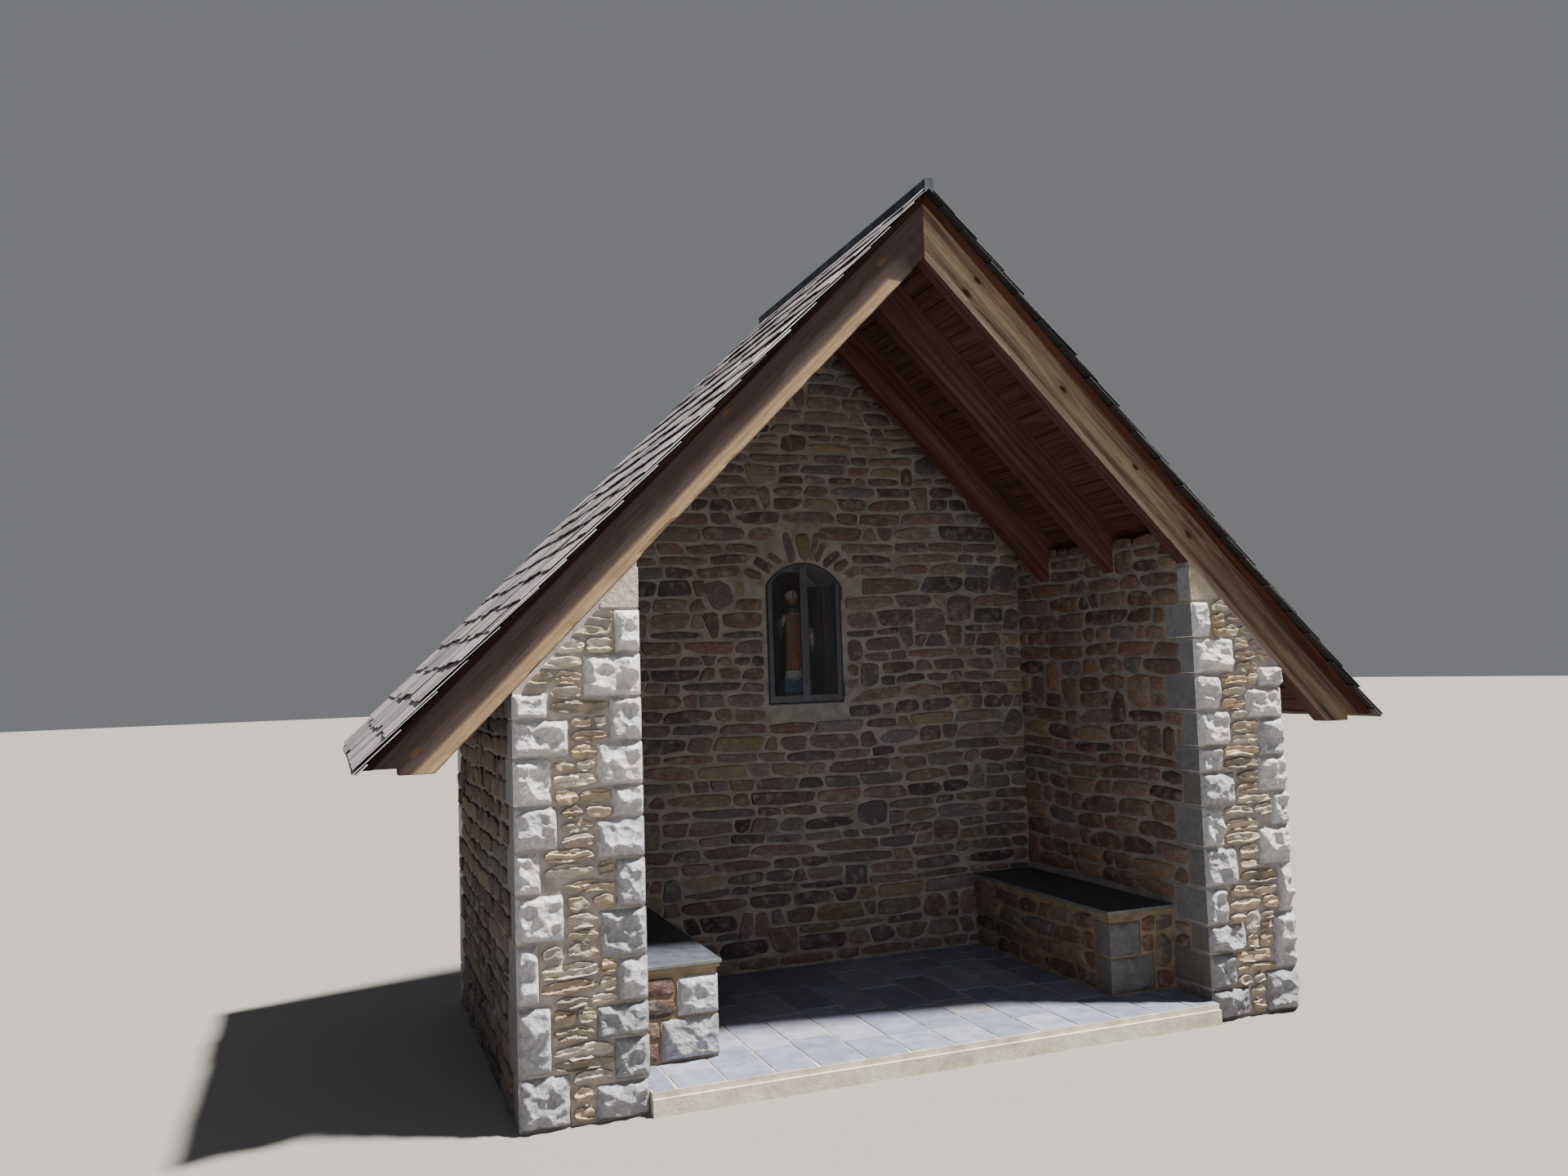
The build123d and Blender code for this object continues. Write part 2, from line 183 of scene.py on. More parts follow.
def add_mix(tree, share, first, second):
    """Two colours mixed."""
    terms = {0: share, 6: first, 7: second}
    return add_terms(tree, "ShaderNodeMix", terms, data_type="RGBA")[2]


def add_stretch(tree, vector, scale):
    """A vector stretched by three numbers, one for each axis."""
    return add_node(
        tree, "ShaderNodeMapping", values={"Scale": scale}, links={"Vector": vector}
    ).outputs["Vector"]


def new_material(name, roughness, metallic=0.0, ior=None, gloss=0.5):
    """A material with a Principled shader; returns it with its tree and shader node."""
    material = bpy.data.materials.new(name)
    material.use_nodes = True
    shader = material.node_tree.nodes["Principled BSDF"]
    shader.inputs["Roughness"].default_value = roughness
    shader.inputs["Metallic"].default_value = metallic
    shader.inputs["Specular IOR Level"].default_value = gloss
    if ior is not None:
        shader.inputs["IOR"].default_value = ior
    return material, material.node_tree, shader


def refinish(node, material):
    """Gives a solid from the CAD source its finish."""
    nodes[node].data.materials.clear()
    nodes[node].data.materials.append(material)


print("steel paint as linear light:", [round(c, 3) for c in linear("#2C2C3A")])

# %% [markdown]
# Boxes with eased edges are the start of every slab, slate, board and block. One function
# sets a box in its place, one bevels its edges, and one turns a finished bmesh into a piece:
# an object at the origin, with its finish, that rides on a body of the model.

# %% Boxes, edges and finished pieces


def add_box(bm, middle, size, turn=Matrix()):
    """A box from its middle, size and turn; returns its corners."""
    place = Matrix.Translation(middle) @ turn @ Matrix.Diagonal((*size, 1))
    return bmesh.ops.create_cube(bm, size=1, matrix=place)["verts"]


def ease_edges(bm, offset, segments=2):
    """Bevels every edge of a mesh."""
    bmesh.ops.bevel(
        bm, geom=bm.edges[:], offset=offset, affect="EDGES", segments=segments, profile=0.5,
        material=-1,
    )


def faces_of(verts):
    """The faces round some corners."""
    return {face for vert in verts for face in vert.link_faces}


def finish_piece(name, bm, material, body="chapel", replaced=(), smooth=False):
    """Makes the object, gives it its finish and lets it ride on its body."""
    mesh = bpy.data.meshes.new(name)
    bm.to_mesh(mesh)
    bm.free()
    if smooth:
        mesh.shade_smooth()
        mesh.set_sharp_from_angle(angle=math.radians(38))
    mesh.materials.append(material)
    piece = bpy.data.objects.new(name, mesh)
    bpy.context.scene.collection.objects.link(piece)
    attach(piece, body)
    if replaced:
        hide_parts(*replaced)
    print(name, len(mesh.polygons), "faces")
    return piece


print("helpers for pieces ready")

# %% [markdown]
# The walls are mountain schist: flat stones of brown, rust, plum and ochre. Each stone carries
# two numbers of its own, a tone that picks its colour and a shade that makes it lighter or
# darker. Its bedding shows as fine level streaks, so the noise is squeezed in height.

# %% Rubble stone


def stone_colour(tree, coordinates, stops, streak_height):
    """Colour of one stone from its tone and shade, with bedding streaks and blotches."""
    tone = add_node(tree, "ShaderNodeAttribute", attribute_name="tone")
    shade = add_node(tree, "ShaderNodeAttribute", attribute_name="shade")
    base = add_ramp(tree, tone.outputs["Fac"], stops)
    other_tone = add_math(
        tree, "PINGPONG", add_math(tree, "MULTIPLY_ADD", tone.outputs["Fac"], 3.1, 0.4), 1.0
    )
    other = add_ramp(tree, other_tone, stops)
    patch_noise = add_noise(tree, coordinates, 13, 5, 0.6)
    patch = add_range(tree, patch_noise, (0.5, 0.6), (0, 0.75))
    two_hues = add_mix(tree, patch, base, other)
    squeezed = add_stretch(tree, coordinates, (1, 1, streak_height))
    streaks = add_noise(tree, squeezed, 30, 6, 0.65)
    blotches = add_noise(tree, coordinates, 17, 5, 0.62)
    light = add_range(tree, streaks, (0.25, 0.75), (0.62, 1.35))
    own = add_range(tree, shade.outputs["Fac"], (0, 1), (0.72, 1.25))
    both = add_math(tree, "MULTIPLY", light, own)
    lit = add_scale(tree, two_hues, both)
    return lit, blotches, streaks


print("stone colour ready")

# %% [markdown]
# The masons wiped their trowels on the stones, so some mortar is smeared over them. Three
# palettes share the rest: the usual one, one with more iron in it, and a paler one for the open
# front, partly weathered and partly painted sunlight.

# %% Rubble finishes


def make_rubble(name, stops, smear_hex, smear_share):
    """Rough split stone with a little mortar smeared over it."""
    material, tree, shader = new_material(name, 0.86, ior=1.5, gloss=0.25)
    place = add_node(tree, "ShaderNodeTexCoord").outputs["Object"]
    colour, blotches, streaks = stone_colour(tree, place, stops, 2.2)
    smear = add_range(tree, blotches, (0.53, 0.66), (0, smear_share))
    mixed = add_mix(tree, smear, colour, linear(smear_hex))
    tree.links.new(mixed, shader.inputs["Base Color"])
    grit = add_noise(tree, place, 160, 5, 0.6)
    relief = add_math(tree, "MULTIPLY_ADD", grit, 0.35, streaks)
    bump = add_bump(tree, relief, 0.85, 0.010)
    tree.links.new(bump, shader.inputs["Normal"])
    return material


# Split schist: dull, rough, each stone its own brown, rust, plum or ochre
rubble_stops = [
    (0.0, "#383437"), (0.16, "#4C4243"), (0.34, "#5C4A47"), (0.5, "#4C464B"),
    (0.64, "#62534D"), (0.78, "#545055"), (0.9, "#685C4B"), (1.0, "#494A51"),
]
schist = make_rubble("split_schist", rubble_stops, "#726C67", 0.7)
# The side walls and benches have more iron in their stone, so more rust and ochre
rusty_stops = [
    (0.0, "#3F3738"), (0.2, "#59453F"), (0.4, "#684F44"), (0.6, "#574A49"),
    (0.78, "#6E5A4A"), (0.92, "#4E4C50"), (1.0, "#74634F"),
]
rusty_schist = make_rubble("rusty_schist", rusty_stops, "#726C67", 0.7)
# The same stone, paler on the open front: partly weathered, partly painted sunlight
sunny_stops = [
    (0.0, "#7A7168"), (0.3, "#8F8373"), (0.55, "#9C8C72"), (0.75, "#918A81"), (1.0, "#AEA493"),
]
sunny_schist = make_rubble("front_schist_weathered_and_sunlit", sunny_stops, "#938C80", 0.6)
print("rubble materials ready")

# %% [markdown]
# Between the stones lies lime mortar, wide and pointed roughly by hand. It covers the CAD
# walls themselves: sand grain, trowel waves and damp blotches, and it is paler on the open
# front, partly washed by rain and partly painted sunlight.

# %% Lime mortar


def make_mortar(name, pale_hex, dark_hex):
    """Sandy lime mortar with trowel marks and damp blotches."""
    material, tree, shader = new_material(name, 0.93, ior=1.5, gloss=0.25)
    place = add_node(tree, "ShaderNodeTexCoord").outputs["Object"]
    waves = add_noise(tree, place, 11, 6, 0.6)
    sand = add_noise(tree, place, 260, 3, 0.7)
    colour = add_ramp(tree, waves, [(0.3, dark_hex), (0.62, pale_hex)])
    speckle = add_range(tree, sand, (0.3, 0.7), (0.82, 1.14))
    depth = add_node(tree, "ShaderNodeSeparateXYZ", links={"Vector": place}).outputs["Y"]
    # Paler on the open front, from 30 mm behind the face: partly washed by rain, partly painted
    # sunlight
    brightness_ramp = add_range(tree, depth, (front + 0.03, front + 0.005), (0.86, 1.3))
    washed = add_math(tree, "MULTIPLY", speckle, brightness_ramp)
    grainy = add_scale(tree, colour, washed)
    tree.links.new(grainy, shader.inputs["Base Color"])
    relief = add_math(tree, "MULTIPLY_ADD", sand, 0.25, waves)
    bump = add_bump(tree, relief, 0.8, 0.008)
    tree.links.new(bump, shader.inputs["Normal"])
    return material


lime_mortar = make_mortar("lime_mortar", "#85807C", "#64605E")
warm_mortar = make_mortar("sandy_bench_mortar", "#857760", "#62584A")
for name in (
    "left_wall", "right_wall", "back_wall_base", "back_wall_left", "back_wall_right",
    "back_wall_gable", "niche_back", "niche_arch", "left_bench_base", "right_bench_base",
):
    refinish(name, warm_mortar if "bench" in name else lime_mortar)
print("mortar on the walls")

# %% [markdown]
# A wall face is a plane with an origin, a direction along the wall and a direction up. Stones
# are laid on it in rows, as a mason lays random rubble: uneven rows, now and then a taller
# stone that takes up two of them, and joints that wander.

# %% Wall faces and rows


class WallFace:
    """A flat face of masonry; along, up and outward make a right-handed frame."""

    def __init__(self, origin, along, up=(0, 0, 1)):
        """Keeps the face's corner and its three directions."""
        self.origin = Vector(origin)
        self.along = Vector(along)
        self.up = Vector(up)
        self.outward = self.along.cross(self.up)

    def point(self, u, v, out=0.0):
        """The point u along, v up and out in front of the face."""
        return self.origin + self.along * u + self.up * v + self.outward * out


def wander(u, v, seed):
    """Slow rise and fall of the rows, none at the foot of the wall."""
    slow = noise.noise(Vector((u * 1.6, v * 1.1, seed * 3.7)))
    quick = noise.noise(Vector((u * 6.0, v * 5.0, seed * 1.9)))
    return (0.024 * slow + 0.008 * quick) * min(1.0, v / 0.2)


row_heights = (0.056, 0.068, 0.082, 0.102)
stone_widths = (0.10, 0.15, 0.20, 0.26, 0.34)
narrowest = 0.035


def random_rows(rng, low, high):
    """Levels that cut a height into uneven rows."""
    levels = [low]
    while high - levels[-1] > 0.13:
        levels.append(levels[-1] + rng.choice(row_heights) * rng.uniform(0.9, 1.1))
    return levels + [high]


def split_courses(levels, height):
    """Rows between given levels, two or three to each course."""
    rows = []
    for low, high in zip(levels, levels[1:]):
        count = max(1, round((high - low) / height))
        rows += [low + (high - low) * part / count for part in range(count)]
    return rows + [levels[-1]]


def free_runs(length, low, high, blocked):
    """Stretches of a row, found in steps of 5 mm, where nothing blocks it."""
    step = 0.005
    probes = (low + 0.006, (low + high) / 2, high - 0.006)
    runs, start = [], None
    for index in range(int(length / step) + 1):
        u = index * step
        free = not any(blocked(u, v) for v in probes)
        if free and start is None:
            start = u
        if not free and start is not None:
            runs.append((start, u))
            start = None
    if start is not None:
        runs.append((start, length))
    return runs


print("rows are", row_heights, "m high")

# %% [markdown]
# Along each row the free stretches are cut into cells, one for each stone. A cell passes on
# the lean of its end, so two neighbours share one slanting joint, as on a real wall.

# %% Cells for stones


def lay_cells(rng, rows, length, blocked):
    """Cells for single stones as (left, right, low, high, lean of each end)."""
    taken = []
    for index, (low, high) in enumerate(zip(rows, rows[1:])):
        mine, taken = taken, []
        busy = lambda u, v: blocked(u, v) or any(a - 0.002 < u < b + 0.002 for a, b in mine)
        top = rows[index + 2] if index + 2 < len(rows) else None
        for start, end in free_runs(length, low, high, busy):
            u, lean = start, 0.0
            while end - u > narrowest:
                width = rng.choice(stone_widths) * rng.uniform(0.8, 1.2)
                if end - u - width < 2 * narrowest:
                    width = end - u if end - u < stone_widths[-1] else (end - u) / 2
                tall = (
                    top and width < 0.21 and rng.random() < 0.12 and top - low < 0.2
                    and not any(blocked(p, q) for p in (u, u + width) for q in (high, top))
                )
                if tall:
                    taken.append((u, u + width))
                last = end - u - width < narrowest
                next_lean = 0.0 if tall or last else rng.uniform(-0.55, 0.55)
                yield u, u + width, low, top if tall else high, lean, next_lean
                u, lean = u + width, next_lean


print("stones are", stone_widths, "m wide, more or less")

# %% [markdown]
# A stone could be sculpted, but a wall has hundreds. So each starts as a flat outline; one
# inset lifts it out of the mortar, a second rounds its edge, and a poke domes it. The open
# back is filled at the end, because a stone is a closed body.

# %% Stones from outlines


def trim(bm, point, outward):
    """Cuts a closed mesh at a plane and closes it again."""
    cut = bmesh.ops.bisect_plane(
        bm, geom=bm.verts[:] + bm.edges[:] + bm.faces[:],
        plane_co=point, plane_no=outward, clear_outer=True,
    )
    rims = [e for e in cut["geom_cut"] if isinstance(e, bmesh.types.BMEdge)]
    bmesh.ops.holes_fill(bm, edges=rims)


def close_backs(bm):
    """Gives open stones their backs and turns every face outwards."""
    bmesh.ops.holes_fill(bm, edges=[edge for edge in bm.edges if edge.is_boundary])
    bmesh.ops.recalc_face_normals(bm, faces=bm.faces[:])


def raise_stones(bm, wall, relief, rng):
    """Turns the flat outlines in a mesh into raised stones with softly rounded edges."""
    tops = bm.faces[:]
    bmesh.ops.inset_individual(
        bm, faces=tops, thickness=0.004, depth=relief, use_even_offset=False
    )
    for top in tops:
        offset = wall.outward * rng.uniform(-0.45, 0.45) * relief
        tilt = Vector([rng.uniform(-0.05, 0.05) for _ in range(3)])
        middle = top.calc_center_median()
        for vert in top.verts:
            vert.co += offset + wall.outward * tilt.dot(vert.co - middle)
    bmesh.ops.inset_individual(
        bm, faces=tops, thickness=0.008, depth=relief * 0.3, use_even_offset=False
    )
    for top in tops:
        for vert in top.verts:
            vert.co += wall.outward * 0.005 * noise.noise(vert.co * 27.0)
    bmesh.ops.poke(bm, faces=tops, offset=relief * 0.12, center_mode="MEAN")
    close_backs(bm)


def add_outline(bm, wall, middle, half, rng, turn=0.0, seed=None, leans=(0, 0), loss=1.0):
    """Flat outline of one stone: a disc of sixteen sides pushed towards a leaning, broken box.

    loss is how much of its corners is broken off, and leans are the slants of its two ends.
    """
    power = rng.uniform(0.2, 0.42)
    pinch = {end: loss * max(0.0, rng.uniform(-0.35, 0.42)) for end in (-1, 1)}
    point = {end: rng.uniform(-0.5, 0.5) for end in (-1, 1)}
    broken = {
        (a, b): loss * max(0.0, rng.uniform(-0.2, 0.2)) for a in (-1, 1) for b in (-1, 1)
    }
    ring = bmesh.ops.create_circle(bm, cap_ends=True, segments=16, radius=1)["verts"]
    for vert in ring:
        x, y = (
            math.copysign(abs(along) ** power, along) * (1 - rng.uniform(-0.002, 0.004) / reach)
            for along, reach in zip(vert.co.xy, half)
        )
        if abs(x) > 0.3 and abs(y) > 0.3:
            gone = broken[(math.copysign(1, x), math.copysign(1, y))]
            x, y = x * (1 - gone * 0.7), y * (1 - gone)
        end = math.copysign(1, x)
        ramp = max(0.0, (abs(x) - 0.35) / 0.65)
        y = y * (1 - pinch[end] * ramp) + point[end] * pinch[end] * ramp
        lean = leans[0] * max(0.0, -x) + leans[1] * max(0.0, x)
        x, y = half[0] * x, half[1] * y
        x += lean * y
        u = middle[0] + x * math.cos(turn) - y * math.sin(turn)
        v = middle[1] + x * math.sin(turn) + y * math.cos(turn)
        if seed is not None:
            v += wander(u, v, seed)
        vert.co = wall.point(u, v, -0.003)
    return ring[0].link_faces[0]


def rubble(name, wall, rows, length, blocked, material, seed, cuts=(), relief=0.009):
    """A face of rubble as one joined mesh; cuts are planes that trim it, (point, outward)."""
    rng = random.Random(seed)
    bm = bmesh.new()
    tone = bm.faces.layers.float.new("tone")
    shade = bm.faces.layers.float.new("shade")
    for left, right, low, high, *leans in lay_cells(rng, rows, length, blocked):
        middle = ((left + right) / 2, (low + high) / 2)
        half_w = (right - left) / 2 - rng.uniform(0.003, 0.007)
        half_h = (high - low) / 2 - rng.uniform(0.002, 0.006)
        face = add_outline(bm, wall, middle, (half_w, half_h), rng, seed=seed, leans=leans)
        face[tone] = rng.random()
        face[shade] = rng.random()
    for point, outward in cuts:
        bmesh.ops.bisect_plane(
            bm, geom=bm.verts[:] + bm.edges[:] + bm.faces[:],
            plane_co=point, plane_no=outward, clear_outer=True,
        )
    # A mason would not lay a stone smaller than 30 by 30 mm, nor one as thin as a splinter
    slivers = [
        f for f in bm.faces if f.calc_area() < max(0.0009, 0.018 * f.calc_perimeter() ** 2)
    ]
    bmesh.ops.delete(bm, geom=slivers, context="FACES")
    raise_stones(bm, wall, relief, rng)
    return finish_piece(name, bm, material, smooth=True)


print("stone helpers ready")

# %% [markdown]
# The corners at the open front are built of dressed limestone blocks that bond long and short
# into the rubble. Their levels come from the photograph, as do the widths on the front and on
# the room side. Rubble rows near them keep to the same levels.

# %% Corner blocks
quoin_levels = [
    0.0, 0.150, 0.320, 0.456, 0.636, 0.832, 1.031, 1.198, 1.324, 1.503, 1.685, 1.864, 2.046, 2.225,
]
quoin_front = [0.22, 0.14, 0.21, 0.12, 0.19, 0.12, 0.20, 0.13, 0.185, 0.13, 0.234, 0.10, 0.16]
quoin_side = [0.16, 0.269, 0.128, 0.228, 0.12, 0.2, 0.129, 0.171, 0.112, 0.222, 0.10, 0.202, 0.09]
outer_levels = [0.0, 0.21, 0.482, 0.722, 0.912, 1.082, 1.26, 1.45, 1.605, 1.715]
outer_front = [0.20, 0.13, 0.085, 0.19, 0.10, 0.17, 0.15, 0.221, 0.136]
outer_side = [0.14, 0.24, 0.21, 0.12, 0.2, 0.13, 0.21, 0.14, 0.22]
block_joint = 0.004


def on_block(u, v, levels, widths):
    """Whether a point on a face lies on a corner block, u from the corner."""
    for low, high, width in zip(levels, levels[1:], widths):
        if low <= v < high:
            return u < width + block_joint
    return False


def inner_block(u, v, widths):
    """Whether a point lies on a block beside the open front."""
    return on_block(u, v, quoin_levels, widths)


def outer_block(u, v, widths):
    """The same for the outer corners."""
    return on_block(u, v, outer_levels, widths)


print(len(quoin_levels) - 1, "blocks at each inner corner")

# %% [markdown]
# The back wall fills the room from side to side, up to the boards, around the niche. Over the
# niche's arch a fan of thin upright stones is set one by one, so the rubble keeps clear of it.

# %% Back wall, room side
room_width = 2 * inner_x
back_face = WallFace((-inner_x, room_back, floor_z), (1, 0, 0))


def near_niche(u, v):
    """Whether a point of the back wall lies in the niche or in the fan of stones over it."""
    x, z = u - inner_x - niche_x, v + floor_z
    if z < spring_z + 0.016:
        return z > sill_z - 0.012 and abs(x) < niche_right - niche_x + 0.016
    lean = math.atan2(x, z - arch_z)
    reach = 0.13 if lean < 1.12 else 0.03
    if lean < 0.2:
        reach = 0.176 if lean > -0.42 else 0.12 if lean > -0.65 else 0.148 if lean > -1.1 else 0.03
    return math.hypot(x, z - arch_z) < arch_radius + reach


def roof_cuts(lift):
    """Planes that trim masonry under the roof, one for each slope."""
    return [
        (slope_point(side, 1.0, 0, lift), Vector((side * math.sin(pitch), 0, math.cos(pitch))))
        for side in (-1, 1)
    ]


gable_height = slope_z(0, boards_under) - floor_z - 0.02
rubble(
    "back_wall_stones", back_face, random_rows(random.Random(4), 0.006, gable_height),
    room_width, near_niche, schist, 11, cuts=roof_cuts(boards_under - 0.012),
)

# %% [markdown]
# The fan over the niche: ten thin stones on end, each with its own place, length and lean,
# as the mason set them to turn the arch. A few are as long as a hand, the outer ones short.

# %% Fan of arch stones
fan_stones = [
    (-0.332, 2.324, 0.104, 0.045, -65), (-0.269, 2.373, 0.107, 0.048, -60),
    (-0.193, 2.409, 0.089, 0.036, -55), (-0.107, 2.475, 0.165, 0.048, -16),
    (-0.016, 2.476, 0.154, 0.066, -8), (0.050, 2.481, 0.155, 0.034, 13),
    (0.087, 2.447, 0.111, 0.036, 27), (0.156, 2.411, 0.122, 0.044, 51),
    (0.219, 2.371, 0.100, 0.046, 66), (0.279, 2.311, 0.101, 0.050, 60),
]
rng = random.Random(5)
fan_bm = bmesh.new()
fan_tone = fan_bm.faces.layers.float.new("tone")
fan_shade = fan_bm.faces.layers.float.new("shade")
for x, z, length, width, lean in fan_stones:
    face = add_outline(
        fan_bm, back_face, (x + inner_x, z - floor_z), (width * 0.62, length * 0.56), rng,
        turn=math.radians(-lean), loss=0.8,
    )
    face[fan_tone] = 0.88 if width > 0.06 else rng.uniform(0.1, 0.6)
    face[fan_shade] = rng.random()
raise_stones(fan_bm, back_face, 0.009, rng)
finish_piece("arch_fan_stones", fan_bm, schist, smooth=True)

# %% [markdown]
# The side walls show three faces each: the room side, the front end, and the outside. The
# beam filling between the rafters continues the room side, so rows run on up into each bay.

# %% Side walls, room side
wall_head = slope_z(inner_x, 0)
filling_head = slope_z(inner_x, 0.155) - 0.035
side_rows_above = [wall_head - 0.018, wall_head + 0.055, wall_head + 0.12, filling_head]
seat_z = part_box("right_bench_seat")[1].z
bench_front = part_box("right_bench_seat")[0].y


def room_side_blocked(y, z):
    """Whether a point of a side wall's room face is hidden, a corner block or a rafter."""
    if z < seat_z + 0.003 and y > bench_front:
        return True
    if z > wall_head - 0.014:
        return any(fore - 0.012 < y < fore + rafter_width + 0.012 for fore in rafter_fronts)
    return inner_block(y - front, z, quoin_side)


def uneven_courses(seed, levels, height=0.082):
    """Rows that keep to the corner blocks' levels but divide each course unevenly."""
    rng = random.Random(seed)
    rows = split_courses(levels, height)
    return [
        row if any(abs(row - level) < 0.001 for level in levels)
        else row + rng.uniform(-0.009, 0.009)
        for row in rows
    ]


room_depth = room_back - front
room_levels = [floor_z + 0.004] + quoin_levels[1:-1] + side_rows_above
rubble(
    "right_wall_stones", WallFace((inner_x, room_back, 0), (0, -1, 0)),
    uneven_courses(6, room_levels), room_depth,
    lambda u, v: room_side_blocked(room_back - u, v), rusty_schist, 21,
)
rubble(
    "left_wall_stones", WallFace((-inner_x, front, 0), (0, 1, 0)),
    uneven_courses(7, room_levels), room_depth,
    lambda u, v: room_side_blocked(front + u, v), rusty_schist, 22,
)

# %% [markdown]
# On the open front frost has opened the schist along its bedding, so each stone juts out in
# thin beds with a lip on top and a shadow below. That is too fine for an outline with a few
# insets: here a stone starts as a grid, drawn together at the rim and pushed out bed by bed.

# %% Front ends of the side walls


def add_ledge(bm, wall, middle, half, rng):
    """One bedded stone of the front; returns its faces."""
    power, bed, depth = rng.uniform(2.2, 4.0), rng.uniform(0.022, 0.05), rng.uniform(0.7, 1.2)
    taper = [max(0.0, rng.uniform(-0.2, 0.65)) for _ in range(2)]
    key = rng.uniform(0, 50)
    verts = bmesh.ops.create_grid(bm, x_segments=26, y_segments=14, size=1)["verts"]
    for vert in verts:
        rim = max(abs(vert.co.x), abs(vert.co.y))
        x, y = (math.copysign(1 - (1 - abs(c)) ** 1.7, c) for c in vert.co.xy)
        rounded = max(1e-6, (abs(x) ** power + abs(y) ** power) ** (1 / power))
        x, y = x * max(abs(x), abs(y)) / rounded, y * max(abs(x), abs(y)) / rounded
        y = y * (1 - taper[x > 0] * x * x) + 0.34 * noise.noise(Vector((x * 1.6, key, 0)))
        x += 0.10 * noise.noise(Vector((y * 2.2, key, 5)))
        u, v = middle[0] + half[0] * x, middle[1] + half[1] * y
        level = (v + 0.016 * noise.noise(Vector((u * 11, key, 1)))) / bed
        setback = 0.5 + 0.5 * noise.cell(Vector((math.floor(level), key, 0)))
        out = depth * (0.007 + 0.010 * setback + 0.012 * (level % 1) ** 2)
        out = (out + 0.012 * noise.noise(Vector((u * 22, v * 34, key)))) * (1 - 0.3 * rim**6)
        vert.co = wall.point(u, v, -0.003 if rim > 0.99 else out)
    return faces_of(verts)


def front_stones(name, wall, rows, blocked, seed):
    """The bedded stones of one front end, trimmed under its rafter."""
    rng = random.Random(seed)
    bm = bmesh.new()
    tone = bm.faces.layers.float.new("tone")
    shade = bm.faces.layers.float.new("shade")
    for left, right, low, high, *_ in lay_cells(rng, rows, outer_x - inner_x, blocked):
        half = (
            (right - left) / 2 - rng.uniform(0.002, 0.010),
            (high - low) / 2 - rng.uniform(0.001, 0.008),
        )
        own_tone, own_shade = rng.random(), rng.random()
        for face in add_ledge(bm, wall, ((left + right) / 2, (low + high) / 2), half, rng):
            face[tone], face[shade] = own_tone, own_shade
    close_backs(bm)
    for point, outward in roof_cuts(-0.016):
        trim(bm, point, outward)
    finish_piece(name, bm, sunny_schist, smooth=True)


wall_width = outer_x - inner_x
front_levels = [0.012] + quoin_levels[1:]
front_stones(
    "left_front_stones", WallFace((-outer_x, front, 0), (1, 0, 0)),
    uneven_courses(8, front_levels, 0.066),
    lambda u, v: inner_block(wall_width - u, v, quoin_front) or outer_block(u, v, outer_front), 23,
)
front_stones(
    "right_front_stones", WallFace((inner_x, front, 0), (1, 0, 0)),
    uneven_courses(9, front_levels, 0.066),
    lambda u, v: inner_block(u, v, quoin_front) or outer_block(wall_width - u, v, outer_front), 24,
)

# %% [markdown]
# The outside of the side walls and the back gable don't show in the photograph. They are
# plain rubble between the same corner blocks, as is usual, with stones that stand out a bit
# more, because nobody leans against them.

# %% Outer faces
building_depth = back - front
outer_head = slope_z(outer_x, 0) - 0.02
outer_rows = [0.012] + outer_levels[1:-1] + [outer_head]


def outer_side_blocked(u, v):
    """Corner blocks at both ends of an outer side face."""
    return outer_block(u, v, outer_side) or outer_block(building_depth - u, v, outer_side)


rubble(
    "left_outer_stones", WallFace((-outer_x, back, 0), (0, -1, 0)),
    uneven_courses(12, outer_rows), building_depth, outer_side_blocked, schist, 25, relief=0.012,
)
rubble(
    "right_outer_stones", WallFace((outer_x, front, 0), (0, 1, 0)),
    uneven_courses(13, outer_rows), building_depth, outer_side_blocked, schist, 26, relief=0.012,
)
full_width = 2 * outer_x
rubble(
    "back_outer_stones", WallFace((outer_x, back, 0), (-1, 0, 0)),
    random_rows(random.Random(14), 0.012, slope_z(0, 0) - 0.02), full_width,
    lambda u, v: outer_block(u, v, outer_front) or outer_block(full_width - u, v, outer_front),
    schist, 27, cuts=roof_cuts(-0.016), relief=0.012,
)

# %% [markdown]
# Dressed limestone is blue-grey to white-grey. Its faces to the room and the outside are
# coloured darker, partly dirt and partly painted shade. A split face swells between straight
# margins, so the front of each block is cut into a grid and pushed out by noise; a few smooth
# ones stay flat.

# %% Limestone
limestone, tree, shader = new_material("split_limestone", 0.82, ior=1.5)
place = add_node(tree, "ShaderNodeTexCoord").outputs["Object"]
tone = add_node(tree, "ShaderNodeAttribute", attribute_name="tone")
block_hue = add_ramp(
    tree, tone.outputs["Fac"],
    [
        (0.0, "#3E3835"), (0.14, "#57524E"), (0.24, "#64666C"), (0.5, "#9A9BA0"),
        (0.88, "#D0D0D0"), (1.0, "#A19A88"),
    ],
)
cloud = add_node(
    tree, "ShaderNodeTexNoise",
    values={"Scale": 24, "Detail": 8, "Roughness": 0.7}, links={"Vector": place},
)
cloud_light = add_range(tree, cloud.outputs["Fac"], (0.3, 0.7), (0.72, 1.22))
block_colour = add_scale(tree, block_hue, cloud_light)
tree.links.new(block_colour, shader.inputs["Base Color"])
warped = add_node(
    tree, "ShaderNodeVectorMath", operation="MULTIPLY_ADD", values={1: (0.06, 0.06, 0.06)},
    links={0: cloud.outputs["Color"], 2: place},
)
chips = add_node(
    tree, "ShaderNodeTexVoronoi", feature="F1", values={"Scale": 40},
    links={"Vector": warped.outputs["Vector"]},
)
chip_relief = add_math(tree, "MULTIPLY_ADD", chips.outputs["Distance"], 0.6, cloud.outputs["Fac"])
facing = add_node(tree, "ShaderNodeNewGeometry").outputs["Normal"]
sideways = add_math(
    tree, "ABSOLUTE",
    add_node(tree, "ShaderNodeSeparateXYZ", links={"Vector": facing}).outputs["X"],
)
